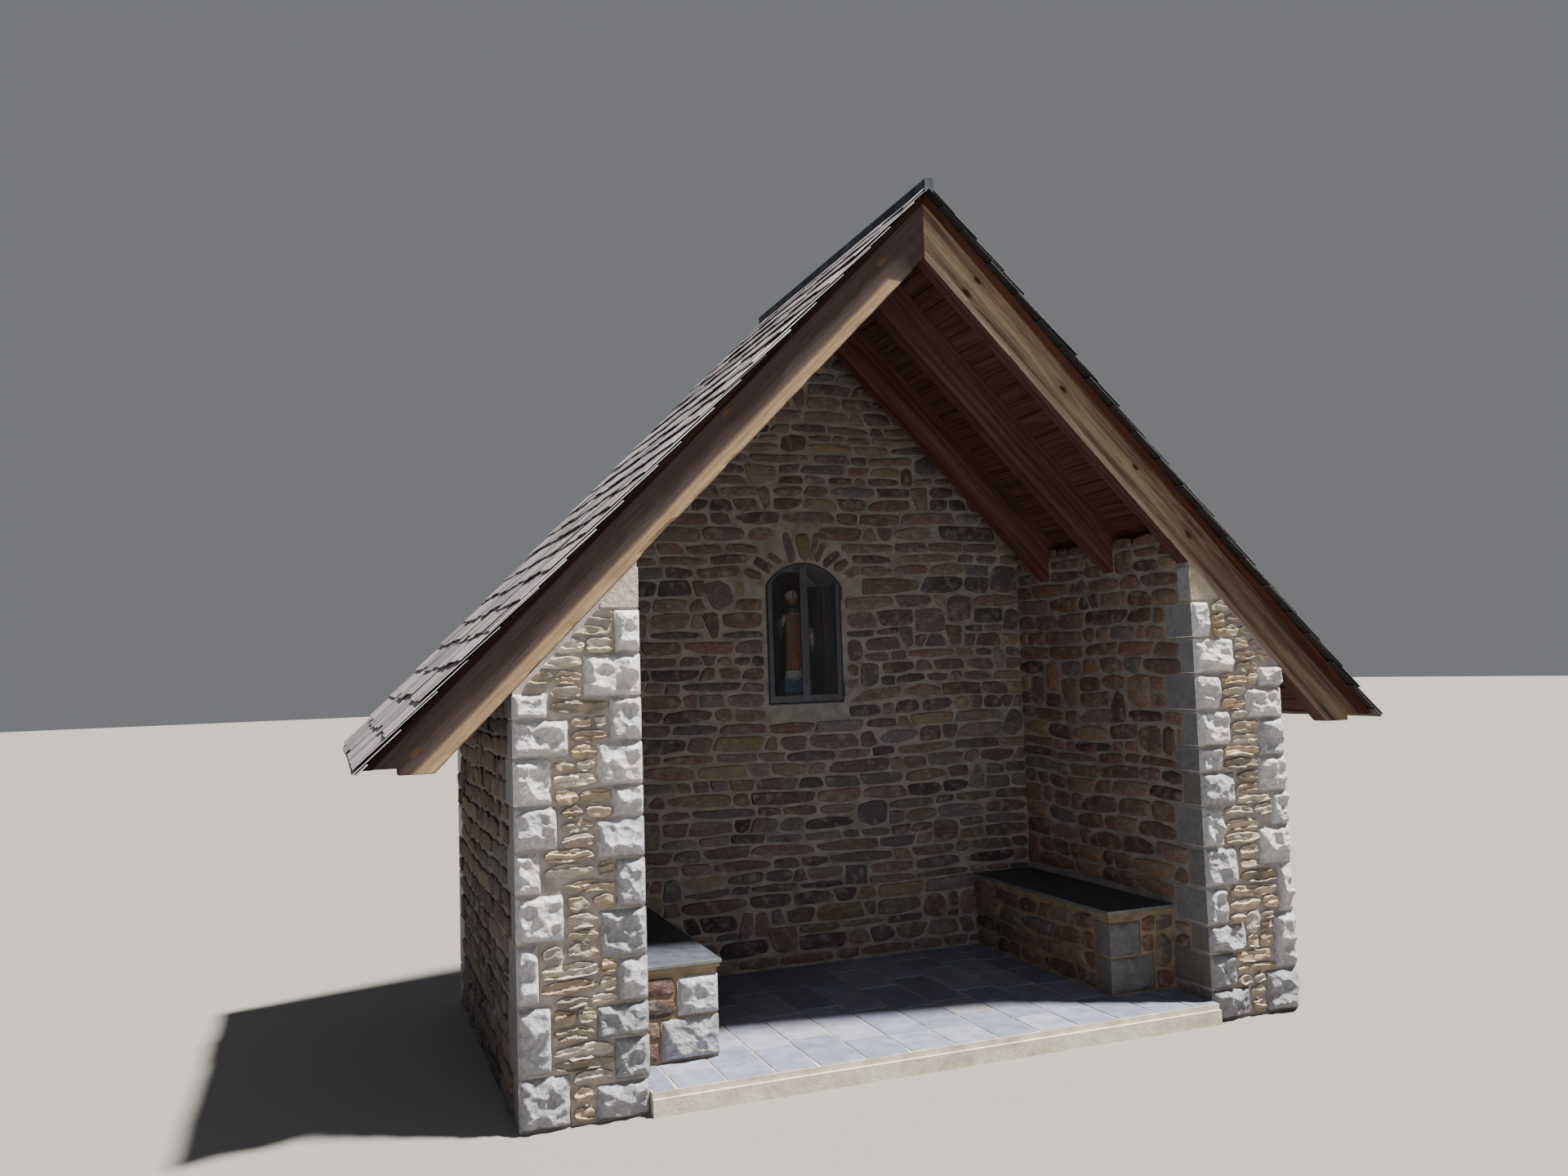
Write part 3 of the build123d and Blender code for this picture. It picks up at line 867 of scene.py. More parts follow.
# The faces to the room and the outside were sawn, so the chips fade there
roughness_share = add_range(tree, sideways, (0.8, 0.95), (1.0, 0.3))
block_bump = add_node(
    tree, "ShaderNodeBump", values={"Distance": 0.013},
    links={"Height": chip_relief, "Strength": roughness_share},
)
tree.links.new(block_bump.outputs["Normal"], shader.inputs["Normal"])

print("limestone ready")

# %% [markdown]
# The blocks are boxes with narrow joints. Only the front is split: there the face is cut into
# a fine grid, and each point is pushed out by ridges and scoops, less towards the margins.

# %% Corner blocks as meshes


def split_height(point):
    """Height of a split face, about 0 to 1.8: scoops a thumb wide, broken by sharp ridges."""
    ridges = noise.ridged_multi_fractal(point * 9, 0.7, 2.3, 4, 1.0, 2.0)
    scoops = noise.voronoi(point * 15)[0][0] ** 1.5
    height = 0.1 + 0.30 * ridges + 1.2 * scoops + 0.8 * noise.noise(point * 8)
    return max(0.04, height)


def corner_block(bm, corner, towards, widths, levels, swell, tone_value, side_dirt_and_shade, proud=0.004):
    """A block at a corner; towards are the signs of x and y into the wall."""
    bed = 0.005
    low = Vector((corner[0] - towards[0] * proud, corner[1] - towards[1] * proud, levels[0] + bed))
    high = Vector(
        (corner[0] + towards[0] * widths[0], corner[1] + towards[1] * widths[1], levels[1] - bed)
    )
    verts = add_box(bm, (low + high) / 2, [abs(side) for side in high - low])
    tone_layer = bm.faces.layers.float["tone"]
    for face in faces_of(verts):
        face.normal_update()
        # Partly dirt, partly painted shade: the faces to the room and the outside are coloured
        # darker
        face[tone_layer] = tone_value * (side_dirt_and_shade if abs(face.normal.x) > 0.7 else 1.0)
    edges = list(set(e for v in verts for e in v.link_edges))
    bevelled = bmesh.ops.bevel(
        bm, geom=edges, offset=0.0035, affect="EDGES", segments=1, profile=0.5, material=-1
    )
    if not swell:
        return
    outward = Vector((0, -towards[1], 0))
    near = faces_of(bevelled["verts"])
    rough = max(near, key=lambda f: f.normal.dot(outward) * f.calc_area())
    margin = rough.calc_center_median()
    half = [max(abs((v.co - margin)[axis]) for v in rough.verts) for axis in (0, 2)]
    cut = bmesh.ops.subdivide_edges(bm, edges=rough.edges[:], cuts=34, use_grid_fill=True)
    inner = [element for element in cut["geom_inner"] if isinstance(element, bmesh.types.BMVert)]
    for vert in inner:
        away = vert.co - margin
        rim = (1 - (abs(away.x) / half[0]) ** 8) * (1 - (abs(away.z) / half[1]) ** 8)
        vert.co += outward * swell * rim * split_height(vert.co)
    # Painted shade: the deeper facets of a split face are coloured a little darker, the proud ones
    # lighter
    for face in faces_of(inner):
        depth = (face.calc_center_median() - margin).dot(outward) / swell
        face[tone_layer] = max(0.2, tone_value + 0.06 * (depth - 0.9))


def quoin_stack(
    name, corner, towards, widths, sides, levels, swell, seed, smooth_top=False, side_dirt_and_shade=0.36,
    shade=0.27,
):
    """All the blocks of one corner, trimmed under the rafters."""
    rng = random.Random(seed)
    bm = bmesh.new()
    bm.faces.layers.float.new("tone")
    last = len(widths) - 1
    for index, (width, side, low, high) in enumerate(zip(widths, sides, levels, levels[1:])):
        top = smooth_top and index == last
        tone_value = 1.0 if top else shade + rng.uniform(0.03, 0.25) + 0.3 * low / levels[-1]
        corner_block(
            bm, corner, towards, (width, side), (low, high), 0 if top else swell, tone_value,
            side_dirt_and_shade,
        )
    for point, outward in roof_cuts(-0.008):
        trim(bm, point, outward)
    finish_piece(name, bm, limestone, smooth=True)


for name, side in (("left", -1), ("right", 1)):
    quoin_stack(
        f"{name}_inner_quoins", (side * inner_x, front), (side, 1), quoin_front, quoin_side,
        quoin_levels, 0.031, 31 + side, smooth_top=True,
    )
    quoin_stack(
        f"{name}_outer_quoins", (side * outer_x, front), (-side, 1), outer_front, outer_side,
        outer_levels, 0.031, 35 + side,
    )
    quoin_stack(
        f"{name}_back_quoins", (side * outer_x, back), (-side, -1), outer_front, outer_side,
        outer_levels, 0.018, 39 + side, side_dirt_and_shade=1.0,
    )

# %% [markdown]
# Each bench is a low rubble wall with two dressed blocks at its free corner. The slate seat
# lies over a bed of mortar and small stones.

# %% Bench masonry
bench_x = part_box("right_bench_base")[0].x
bench_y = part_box("right_bench_base")[0].y
bench_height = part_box("right_bench_base")[1].z - floor_z
bench_length = room_back - bench_y
bench_width = inner_x - bench_x
bench_levels = [0.004, 0.188, 0.362]
bench_front_widths = [0.255, 0.180]
bench_side_widths = [0.115, 0.130]
bench_rows = [0.006, 0.098, 0.188, 0.288, bench_height - 0.006]


def bench_block(u, v, widths):
    """Whether a point of a bench face lies on one of its corner blocks."""
    return on_block(u, v, bench_levels, widths)


rubble(
    "right_bench_side_stones", WallFace((bench_x, room_back, floor_z), (0, -1, 0)), bench_rows,
    bench_length, lambda u, v: bench_block(bench_length - u, v, bench_side_widths),
    rusty_schist, 41,
)
rubble(
    "left_bench_side_stones", WallFace((-bench_x, bench_y, floor_z), (0, 1, 0)), bench_rows,
    bench_length, lambda u, v: bench_block(u, v, bench_side_widths), rusty_schist, 42,
)
rubble(
    "right_bench_end_stones", WallFace((bench_x, bench_y, floor_z), (1, 0, 0)), bench_rows,
    bench_width, lambda u, v: bench_block(u, v, bench_front_widths), rusty_schist, 43,
)
rubble(
    "left_bench_end_stones", WallFace((-inner_x, bench_y, floor_z), (1, 0, 0)), bench_rows,
    bench_width, lambda u, v: bench_block(bench_width - u, v, bench_front_widths),
    rusty_schist, 44,
)
lifted_levels = [level + floor_z for level in bench_levels]
# Painted light: the left bench's blocks are coloured lighter, as they stand in the sun, and the
# right bench's darker, as they stand in shade
for name, side, swell, shade in (("left", -1, 0.020, 0.22), ("right", 1, 0.012, -0.13)):
    quoin_stack(
        f"{name}_bench_quoins", (side * bench_x, bench_y), (side, 1), bench_front_widths,
        bench_side_widths, lifted_levels, swell, 45 + side, side_dirt_and_shade=0.8, shade=shade,
    )

# %% [markdown]
# The roof is laid in real slates. Each one is 0.42 m long and shows 0.18 m, so three lie on
# top of each other everywhere, and the stack gives every slate its slight lift at the tail.
# The corners are nudged before the edges are bevelled, as hand-trimmed slate never is square.

# %% Slate finish


def make_slate(name, stops, roughness, cleft_size, cleft_depth):
    """Cleft slate; each piece has its own tone, with cloudy streaks and shallow clefts."""
    material, tree, shader = new_material(name, roughness, ior=1.55)
    place = add_node(tree, "ShaderNodeTexCoord").outputs["Object"]
    tone = add_node(tree, "ShaderNodeAttribute", attribute_name="tone")
    hue = add_ramp(tree, tone.outputs["Fac"], stops)
    cloud = add_noise(tree, place, 1 / cleft_size, 8, 0.62)
    fine = add_noise(tree, place, 210, 4)
    light = add_range(tree, cloud, (0.3, 0.7), (0.74, 1.26))
    colour = add_scale(tree, hue, light)
    tree.links.new(colour, shader.inputs["Base Color"])
    relief = add_math(tree, "MULTIPLY_ADD", fine, 0.15, cloud)
    bump = add_bump(tree, relief, 0.6, cleft_depth)
    tree.links.new(bump, shader.inputs["Normal"])
    return material


# Roofing slate, matt and grey with a lilac cast, some pieces browner
# The darkest stops are painted shade for the slates' edges, tails and undersides, and the palest is
# a painted highlight for the edges at the left verge
roof_slate = make_slate(
    "cleft_roof_slate",
    [
        (0.0, "#151417"), (0.06, "#1B1A1D"), (0.1, "#565155"), (0.4, "#6B656A"),
        (0.66, "#7B7679"), (0.84, "#898386"), (0.9, "#777069"), (0.96, "#B0B3B6"),
    ],
    0.62, 0.05, 0.006,
)
# Paving slate, walked smooth, so a little glossier
paving_slate = make_slate(
    "worn_paving_slate",
    [(0.0, "#5E6375"), (0.5, "#696E7F"), (0.85, "#75798A"), (1.0, "#73737C")],
    0.5, 0.09, 0.003,
)

print("slate finishes ready")

# %% [markdown]
# The courses are laid from the eaves up, as a slater does. A short undercourse and a starter
# course lift the first full one, and no tail line is quite straight.

# %% Roof slates
slate_length = 0.42
slate_gauge = 0.180
slate_thick = 0.0050
slate_tilt = 0.008 / slate_gauge
eave_run = 3.587
verge_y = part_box("left_slates")[1].y


def lay_slate(bm, side, tail, length, y_low, y_high, bed, rng, tone_layer):
    """One slate whose tail end is run tail down the slope, its underside bed over the boards.

    Its side edges, tail ends and underside are coloured dark as painted shade, and the side edges
    at the left verge pale as a painted highlight.
    """
    lift = boards_top + bed - slate_tilt * length / 2
    middle = slope_point(side, tail - length / 2, (y_low + y_high) / 2, lift + slate_thick / 2)
    kick = rng.uniform(0.001, 0.016) if length > 0.3 else 0.0
    middle += Vector((side * math.sin(pitch), 0, math.cos(pitch))) * kick * length / 2
    lean = side * (pitch - slate_tilt - kick)
    turn = Matrix.Rotation(lean, 4, "Y") @ Matrix.Rotation(rng.uniform(-0.014, 0.014), 4, "X")
    verts = add_box(bm, middle, (length, y_high - y_low, slate_thick), turn)
    for vert in verts:
        vert.co += Vector([rng.uniform(-0.0015, 0.0015) for _ in range(3)])
    tone = rng.uniform(0.1, 0.9)
    for face in faces_of(verts):
        face.normal_update()
        face[tone_layer] = tone
        # Painted light: side edges are coloured dark as shade, but pale as a sunlit highlight at
        # the left verge; tail ends and undersides are coloured dark as shade
        if abs(face.normal.y) > 0.7:
            at_verge = side < 0 and abs(face.calc_center_median().y) > verge_y - 0.012
            face[tone_layer] = 1.0 if at_verge else 0.06
        elif face.normal.z < 0:
            face[tone_layer] = 0.03


for name, side in (("left", -1), ("right", 1)):
    rng = random.Random(60 + side)
    bm = bmesh.new()
    tone_layer = bm.faces.layers.float.new("tone")
    tails = [eave_run - course * slate_gauge for course in range(20)]
    courses = [(eave_run - 0.010, 0.06, 0.0025), (eave_run - 0.005, 0.24, 0.0105)]
    courses += [(tail, min(slate_length, tail - 0.012), 0.0187) for tail in tails]
    for tail, length, bed in courses:
        y = -verge_y + rng.uniform(0, 0.006)
        end = verge_y - rng.uniform(0, 0.006)
        while y < end - 0.01:
            width = rng.uniform(0.15, 0.25)
            if end - y - width < 0.1:
                width = end - y
            nudge = 0
            if length > 0.3:
                nudge = rng.choice((-0.038, -0.021, -0.006)) * rng.uniform(0.8, 1.1)
            gap = rng.uniform(0.0008, 0.0022)
            lay_slate(
                bm, side, tail + nudge, length, y + gap, y + width - gap, bed, rng, tone_layer
            )
            y += width
    ease_edges(bm, 0.0012, 1)
    finish_piece(
        f"{name}_slate_courses", bm, roof_slate, replaced=(f"{name}_slates",)
    )

# %% [markdown]
# Wood shows its grain along the timber, so its pattern is turned to run down each slope.
# Long noise gives the year bands, thin noise the fibres, and a few knots are placed one by one:
# each tints an oval spot and bends the bands round it.

# %% Timber finish


# The grain runs down the left or right slope, along the ridge, or straight up
grain_turns = {
    -1: (0, pitch, 0), 1: (0, -pitch, 0), 0: (0, 0, math.radians(90)), 2: (0, math.radians(90), 0),
}


def make_timber(name, side, stops, band_width, knots=(), knot_hex="#3A2115", strips=None):
    """Sawn softwood; side turns the grain down a slope, 0 keeps it along the ridge.

    knots are (along, across, size), and strips are (low, high, share, gain towards the ridge,
    stops), for a beam whose colour changes across its height.
    """
    material, tree, shader = new_material(name, 0.72, ior=1.45, gloss=0.08)
    place = add_node(tree, "ShaderNodeTexCoord").outputs["Object"]
    turned = add_node(
        tree, "ShaderNodeMapping",
        values={"Rotation": grain_turns[side]},
        links={"Vector": place},
    ).outputs["Vector"]
    bend = add_node(
        tree, "ShaderNodeTexNoise", values={"Scale": 1.3, "Detail": 2}, links={"Vector": turned}
    )
    wavy = add_node(
        tree, "ShaderNodeVectorMath", operation="MULTIPLY_ADD", values={1: (0.05, 0.05, 0.05)},
        links={0: bend.outputs["Color"], 2: turned},
    ).outputs["Vector"]
    knot_shade = None
    for x, z, size in knots:
        away = add_node(
            tree, "ShaderNodeVectorMath", operation="SUBTRACT", values={1: (x, 0, z)},
            links={0: turned},
        )
        oval = add_node(
            tree, "ShaderNodeVectorMath", operation="MULTIPLY", values={1: (0.45, 0, 1)},
            links={0: away.outputs["Vector"]},
        )
        length = add_node(
            tree, "ShaderNodeVectorMath", operation="LENGTH", links={0: oval.outputs["Vector"]}
        )
        spot = add_node(
            tree, "ShaderNodeMapRange", interpolation_type="SMOOTHSTEP",
            values={"From Min": size, "From Max": size * 0.35},
            links={"Value": length.outputs["Value"]},
        )
        halo = add_node(
            tree, "ShaderNodeMapRange", interpolation_type="SMOOTHSTEP",
            values={"From Min": size * 3.2, "From Max": 0, "To Max": 0.02},
            links={"Value": length.outputs["Value"]},
        )
        push = add_scale(tree, away.outputs["Vector"], halo.outputs["Result"])
        stretched = add_node(
            tree, "ShaderNodeVectorMath", operation="MULTIPLY_ADD", values={1: (0, 0, -40)},
            links={0: push, 2: wavy},
        )
        wavy = stretched.outputs["Vector"]
        if knot_shade is None:
            knot_shade = spot.outputs["Result"]
        else:
            both = add_node(
                tree, "ShaderNodeMath", operation="MAXIMUM",
                links={0: knot_shade, 1: spot.outputs["Result"]},
            )
            knot_shade = both.outputs["Value"]
    long_way = add_stretch(tree, wavy, (0.7, 1 / band_width, 1 / band_width))
    bands = add_node(
        tree, "ShaderNodeTexNoise",
        values={"Scale": 1, "Detail": 5, "Roughness": 0.55, "Distortion": 0.3},
        links={"Vector": long_way},
    )
    thin_way = add_stretch(tree, wavy, (4, 260, 260))
    fibres = add_noise(tree, thin_way, 1, 3)
    colour = add_ramp(tree, bands.outputs["Fac"], stops)
    if strips:
        low, high, strip_share, ridge_gain, strip_stops = strips
        height = add_node(tree, "ShaderNodeSeparateXYZ", links={"Vector": turned}).outputs["Z"]
        centred = add_math(tree, "SUBTRACT", bend.outputs["Fac"], 0.5)
        uneven = add_math(tree, "MULTIPLY_ADD", centred, 0.018, height)
        share = add_range(tree, uneven, (low, high))
        along = add_node(tree, "ShaderNodeSeparateXYZ", links={"Vector": turned}).outputs["X"]
        # Painted shade: over the last 0.2 m below the ridge the dark upper tone reaches further
        # down, as the slates' shadow covers the beam there
        painted_ridge_shade = add_range(tree, along, (2.38, 2.46), (0, 0.5))
        raised = add_math(tree, "ADD", share, painted_ridge_shade)
        strip = add_ramp(tree, raised, strip_stops)
        both = add_mix(tree, strip_share, colour, strip)
        brightness_ramp = add_range(tree, along, (-side * 2.4, 0.0), (ridge_gain, 1.0))
        colour = add_scale(tree, both, brightness_ramp)
    fibre_light = add_range(tree, fibres, (0.3, 0.7), (0.70, 1.26))
    streaked = add_scale(tree, colour, fibre_light)
    if knot_shade is not None:
        streaked = add_mix(tree, knot_shade, streaked, linear(knot_hex))
    tree.links.new(streaked, shader.inputs["Base Color"])
    relief = add_math(tree, "MULTIPLY_ADD", fibres, 0.5, bands.outputs["Fac"])
    bump = add_bump(tree, relief, 0.45, 0.003)
    tree.links.new(bump, shader.inputs["Normal"])
    return material


print("timber helper ready")

# %% [markdown]
# All the timber is pine, but its finish differs with the weather: stained and dry inside,
# grey-brown or bleached on the two beams of the front. The verge boards under the slates are
# coloured dark as painted shade.

# %% Timber finishes
stained_stops = [(0.3, "#35231F"), (0.5, "#4B322E"), (0.7, "#5D403A")]
# The left beam's dark stops are partly its dark wood and partly painted shade
dark_wood_and_shade_stops = [(0.28, "#191413"), (0.45, "#2B2220"), (0.6, "#403431"), (0.75, "#261F1D")]
sunny_pine_stops = [
    (0.36, "#261D18"), (0.45, "#4C3F35"), (0.53, "#7A6A57"), (0.6, "#5B4D40"), (0.68, "#32261E"),
]
# Inner rafters and boards: pine under an old red-brown stain
stained_pine = {
    side: make_timber(f"stained_pine_{name}", side, stained_stops, 0.03)
    for name, side in (("left", -1), ("right", 1))
}
stained_board = make_timber("stained_pine_board", 0, stained_stops, 0.02)
# Painted shade: the verge boards under the slates are coloured dark, the left pair darkest
verge_stops = {
    -1: [(0.3, "#17100E"), (0.5, "#251A17"), (0.7, "#352721")],
    1: [(0.3, "#2C1A14"), (0.5, "#432A20"), (0.7, "#5A3A2A")],
}
verge_pine = {
    side: make_timber(f"verge_pine_painted_shade_{name}", side, verge_stops[side], 0.03)
    for name, side in (("left", -1), ("right", 1))
}
print("timber finishes ready")

# %% [markdown]
# The front couple is the face of the building. The left beam carries painted light: a tan band
# along its lower edge stands for the strip the sun reaches, and dark brown above it for the
# shadow of the slates' overhang. On the right the sun brought out light and dark streaks. Both
# are modelled again from their outline, with worn edges and a few splinters broken off, because
# a chip is a shape and not a colour.

# %% Front rafters' finishes
under_z = apex_z * math.cos(pitch)
# Painted light on the left beam: the tan stops along its lower edge stand for the strip the sun
# reaches, the dark ones above for the shadow of the slates' overhang
left_painted_sun_and_shade = (
    under_z, under_z + boards_under, 0.72, 0.95,
    [
        (0.0, "#7B6853"), (0.07, "#A38B6E"), (0.18, "#907960"), (0.26, "#998064"),
        (0.3, "#69594D"), (0.36, "#473B3A"), (0.6, "#443939"), (1.0, "#483D3E"),
    ],
)
right_strips = (
    under_z, under_z + boards_under, 0.6, 1.9,
    [
        (0.0, "#7E7163"), (0.13, "#6E6053"), (0.18, "#2A201B"), (0.25, "#40332B"),
        (0.34, "#655A4B"), (0.46, "#6E6150"), (0.6, "#584A3E"), (0.78, "#3B2C25"), (1.0, "#3F302A"),
    ],
)
left_beam_pine_painted_light = make_timber(
    "left_beam_pine_painted_light", -1, dark_wood_and_shade_stops, 0.035,
    knots=[(2.415, 2.708, 0.019), (1.35, 2.74, 0.013), (-0.55, 2.69, 0.016)],
    knot_hex="#5C4231", strips=left_painted_sun_and_shade,
)
sunny_pine = make_timber(
    "sun_bleached_pine", 1, sunny_pine_stops, 0.045,
    knots=[
        (-2.347, 2.712, 0.016), (-2.345, 2.624, 0.020), (-1.679, 2.678, 0.016),
        (-1.141, 2.700, 0.015), (-0.695, 2.675, 0.017),
    ],
    strips=right_strips,
)

print("front beams between", round(under_z, 3), "and", round(under_z + boards_under, 3))

# %% [markdown]
# A rafter is one outline with a level seat cut at its foot and a plumb cut at the ridge,
# extruded to its width. Cuts every 36 mm give it enough points to wear its lower edges down.

# %% Beams from their outline
tail_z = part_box("rafter_left_1")[0].z
eave_z = tail_z + 0.027
toe_x = (apex_z - tail_z) / math.tan(pitch)
heel_x = toe_x + 0.138
nose_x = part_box("rafter_right_1")[1].x
beam_outline = [
    (0, slope_z(0, 0)), (toe_x, tail_z), (heel_x, tail_z), (heel_x, eave_z), (nose_x, eave_z),
    (0, slope_z(0, boards_under)),
]


cut_step = 0.036
worn_height = 0.022


def make_beam(node, side, seed, front_finish=None, chips=()):
    """A rafter from its side outline, its edges eased, worn and chipped along the arris."""
    bm = bmesh.new()
    low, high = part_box(node)
    verts = [bm.verts.new((side * x, low.y, z)) for x, z in beam_outline]
    start = bm.faces.new(verts)
    moved = bmesh.ops.extrude_face_region(bm, geom=[start])["geom"]
    bmesh.ops.translate(
        bm, vec=(0, rafter_width, 0), verts=[e for e in moved if isinstance(e, bmesh.types.BMVert)]
    )
    bmesh.ops.recalc_face_normals(bm, faces=bm.faces[:])
    ease_edges(bm, 0.004)
    downhill = Vector((side * math.cos(pitch), 0, -math.sin(pitch)))
    upright_to_slope = Vector((side * math.sin(pitch), 0, math.cos(pitch)))
    for index in range(1, 100):
        bmesh.ops.bisect_plane(
            bm, geom=bm.verts[:] + bm.edges[:] + bm.faces[:],
            plane_co=slope_point(side, index * cut_step, 0, 0), plane_no=downhill,
        )
    # One more cut keeps the wear below it, so the rest of the face stays flat
    bmesh.ops.bisect_plane(
        bm, geom=bm.verts[:] + bm.edges[:] + bm.faces[:],
        plane_co=slope_point(side, 0, 0, worn_height), plane_no=upright_to_slope,
    )
    for vert in bm.verts:
        lift = (vert.co - slope_point(side, 0, 0, 0)).dot(upright_to_slope)
        run = (vert.co - slope_point(side, 0, 0, boards_top)).dot(downhill)
        near_edge = min(vert.co.y - low.y, high.y - vert.co.y) < 0.006
        if run < 0.12 or vert.co.z < eave_z + 0.03 or not near_edge or lift > 0.02:
            continue
        inward = Vector((0, 1 if vert.co.y - low.y < 0.01 else -1, 0)) + upright_to_slope
        worn = max(0.0, noise.noise(Vector((run * 9, seed, vert.co.y * 40)))) * 0.006
        for place, reach, depth in chips:
            if abs(run - place) < reach and vert.co.y - low.y < 0.01:
                worn += depth * (0.6 + noise.noise(Vector((run * 55, seed, 1))))
        vert.co += inward * worn
    piece = finish_piece(f"{node}_timber", bm, stained_pine[side], replaced=(node,))
    if front_finish:
        piece.data.materials.append(front_finish)
        for polygon in piece.data.polygons:
            polygon.material_index = int(polygon.normal.y < -0.3)
    return piece


make_beam(
    "rafter_left_1", -1, 3, left_beam_pine_painted_light,
    chips=[(2.02, 0.05, 0.012), (2.12, 0.06, 0.009), (0.24, 0.05, 0.005), (1.2, 0.03, 0.003)],
)
make_beam("rafter_right_1", 1, 4, sunny_pine, chips=[(1.5, 0.04, 0.003)])
for number in (2, 3, 4):
    for name, side in (("left", -1), ("right", 1)):
        make_beam(f"rafter_{name}_{number}", side, 5 + number + side)

# %% [markdown]
# The roof boards run along the ridge, each 95 mm wide with a chamfered edge, so the ceiling
# shows a groove every 95 mm. A verge board covers their ends at each gable.

# %% Roof boards
board_cover = 0.095
boards_low_run = (nose_x + 0.0353) / math.cos(pitch)
for name, side in (("left", -1), ("right", 1)):
    bm = bmesh.new()
    run = 0.0
    while run < boards_low_run:
        middle = slope_point(side, run + board_cover / 2, 0, (boards_under + boards_top) / 2)
        turn = Matrix.Rotation(side * pitch, 4, "Y")
        size = (board_cover - 0.001, back - front, boards_top - boards_under)
        add_box(bm, middle, size, turn)
        run += board_cover
    ease_edges(bm, 0.004, 1)
    trim(bm, Vector((0, 0, eave_z)), Vector((0, 0, -1)))
    trim(bm, Vector((side * 0.0008, 0, 0)), Vector((-side, 0, 0)))
    finish_piece(
        f"{name}_soffit_boards", bm, stained_board,
        replaced=(f"{name}_roof_boards",),
    )
    for gable in ("front", "back"):
        refinish(f"verge_board_{gable}_{name}", verge_pine[side])

# %% [markdown]
# A folded zinc roll caps the ridge. Out of doors zinc turns matt and pale, with a cloudy
# bloom and run marks; here its tint varies in a cloudy bloom over a faint bump.

# %% Ridge roll
zinc, tree, shader = new_material("weathered_zinc", 0.55, metallic=1.0)
place = add_node(tree, "ShaderNodeTexCoord").outputs["Object"]
bloom = add_noise(tree, place, 14, 7)
zinc_hue = add_ramp(tree, bloom, [(0.35, "#363B42"), (0.6, "#4A5058"), (0.75, "#686E75")])
tree.links.new(zinc_hue, shader.inputs["Base Color"])
zinc_bump = add_bump(tree, bloom, 0.25, 0.002)
tree.links.new(zinc_bump, shader.inputs["Normal"])
refinish("ridge_roll", zinc)
print("zinc on the ridge")

# %% [markdown]
# The floor is of slate slabs a good hand wide, laid in rows that run from front to back with
# staggered cross joints. The joints are filled almost flush with pale mortar, which is a
# plate of its own a little below the slabs.

# %% Paving
pale_mortar = make_mortar("pale_joint_mortar", "#A6A193", "#868175")
refinish("floor_bed", pale_mortar)
paving_low, paving_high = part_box("slate_paving")
row_joints = [
    -1.405, -1.30, -1.087, -0.872, -0.677, -0.459, -0.245, -0.028, 0.190, 0.400, 0.612, 0.826,
    1.040, 1.250, 1.405,
]
joint = 0.010
joint_depth = 0.0045
rng = random.Random(70)
bm = bmesh.new()
tone_layer = bm.faces.layers.float.new("tone")
for left, right in zip(row_joints, row_joints[1:]):
    y = paving_low.y
    length = rng.uniform(0.14, 0.42)
    while y < paving_high.y - 0.01:
        end = min(y + length, paving_high.y)
        if paving_high.y - end < 0.12:
            end = paving_high.y
        size = Vector((right - left - joint, end - y - joint, paving_high.z - paving_low.z - 0.006))
        middle = Vector(((left + right) / 2, (y + end) / 2, paving_high.z - size.z / 2))
        middle.z -= rng.uniform(0, 0.0012)
        verts = add_box(bm, middle, size)
        for vert in verts:
            vert.co += Vector((rng.uniform(-0.003, 0.003), rng.uniform(-0.003, 0.003), 0))
        tone = rng.random()
        for face in faces_of(verts):
            face[tone_layer] = tone
        y = end
        length = rng.choice((0.24, 0.32, 0.40, 0.46)) * rng.uniform(0.9, 1.1)
ease_edges(bm, 0.0025)
finish_piece("paving_slabs", bm, paving_slate, replaced=("slate_paving",))
bm = bmesh.new()
bed_size = paving_high - paving_low
bed_size.z -= joint_depth
bed_middle = (paving_low + paving_high) / 2 - Vector((0, 0, joint_depth / 2))
add_box(bm, bed_middle, bed_size)
finish_piece("paving_joints", bm, pale_mortar)

# %% [markdown]
# The bench seats are sawn slate, darker and smoother than the paving. Their edges are paler,
# partly the sawn cut and partly painted light.
# The solid stands for slab and bed together, so it is replaced by a thin slab over a mortar
# bed that stands back a little.

# %% Bench seats
seat_thick = 0.017
seat_slate, tree, shader = new_material("sawn_seat_slate", 0.5, ior=1.55)
place = add_node(tree, "ShaderNodeTexCoord").outputs["Object"]
seat_cloud = add_noise(tree, place, 16, 8)
seat_hue = add_ramp(tree, seat_cloud, [(0.3, "#292D35"), (0.7, "#3E434D")])
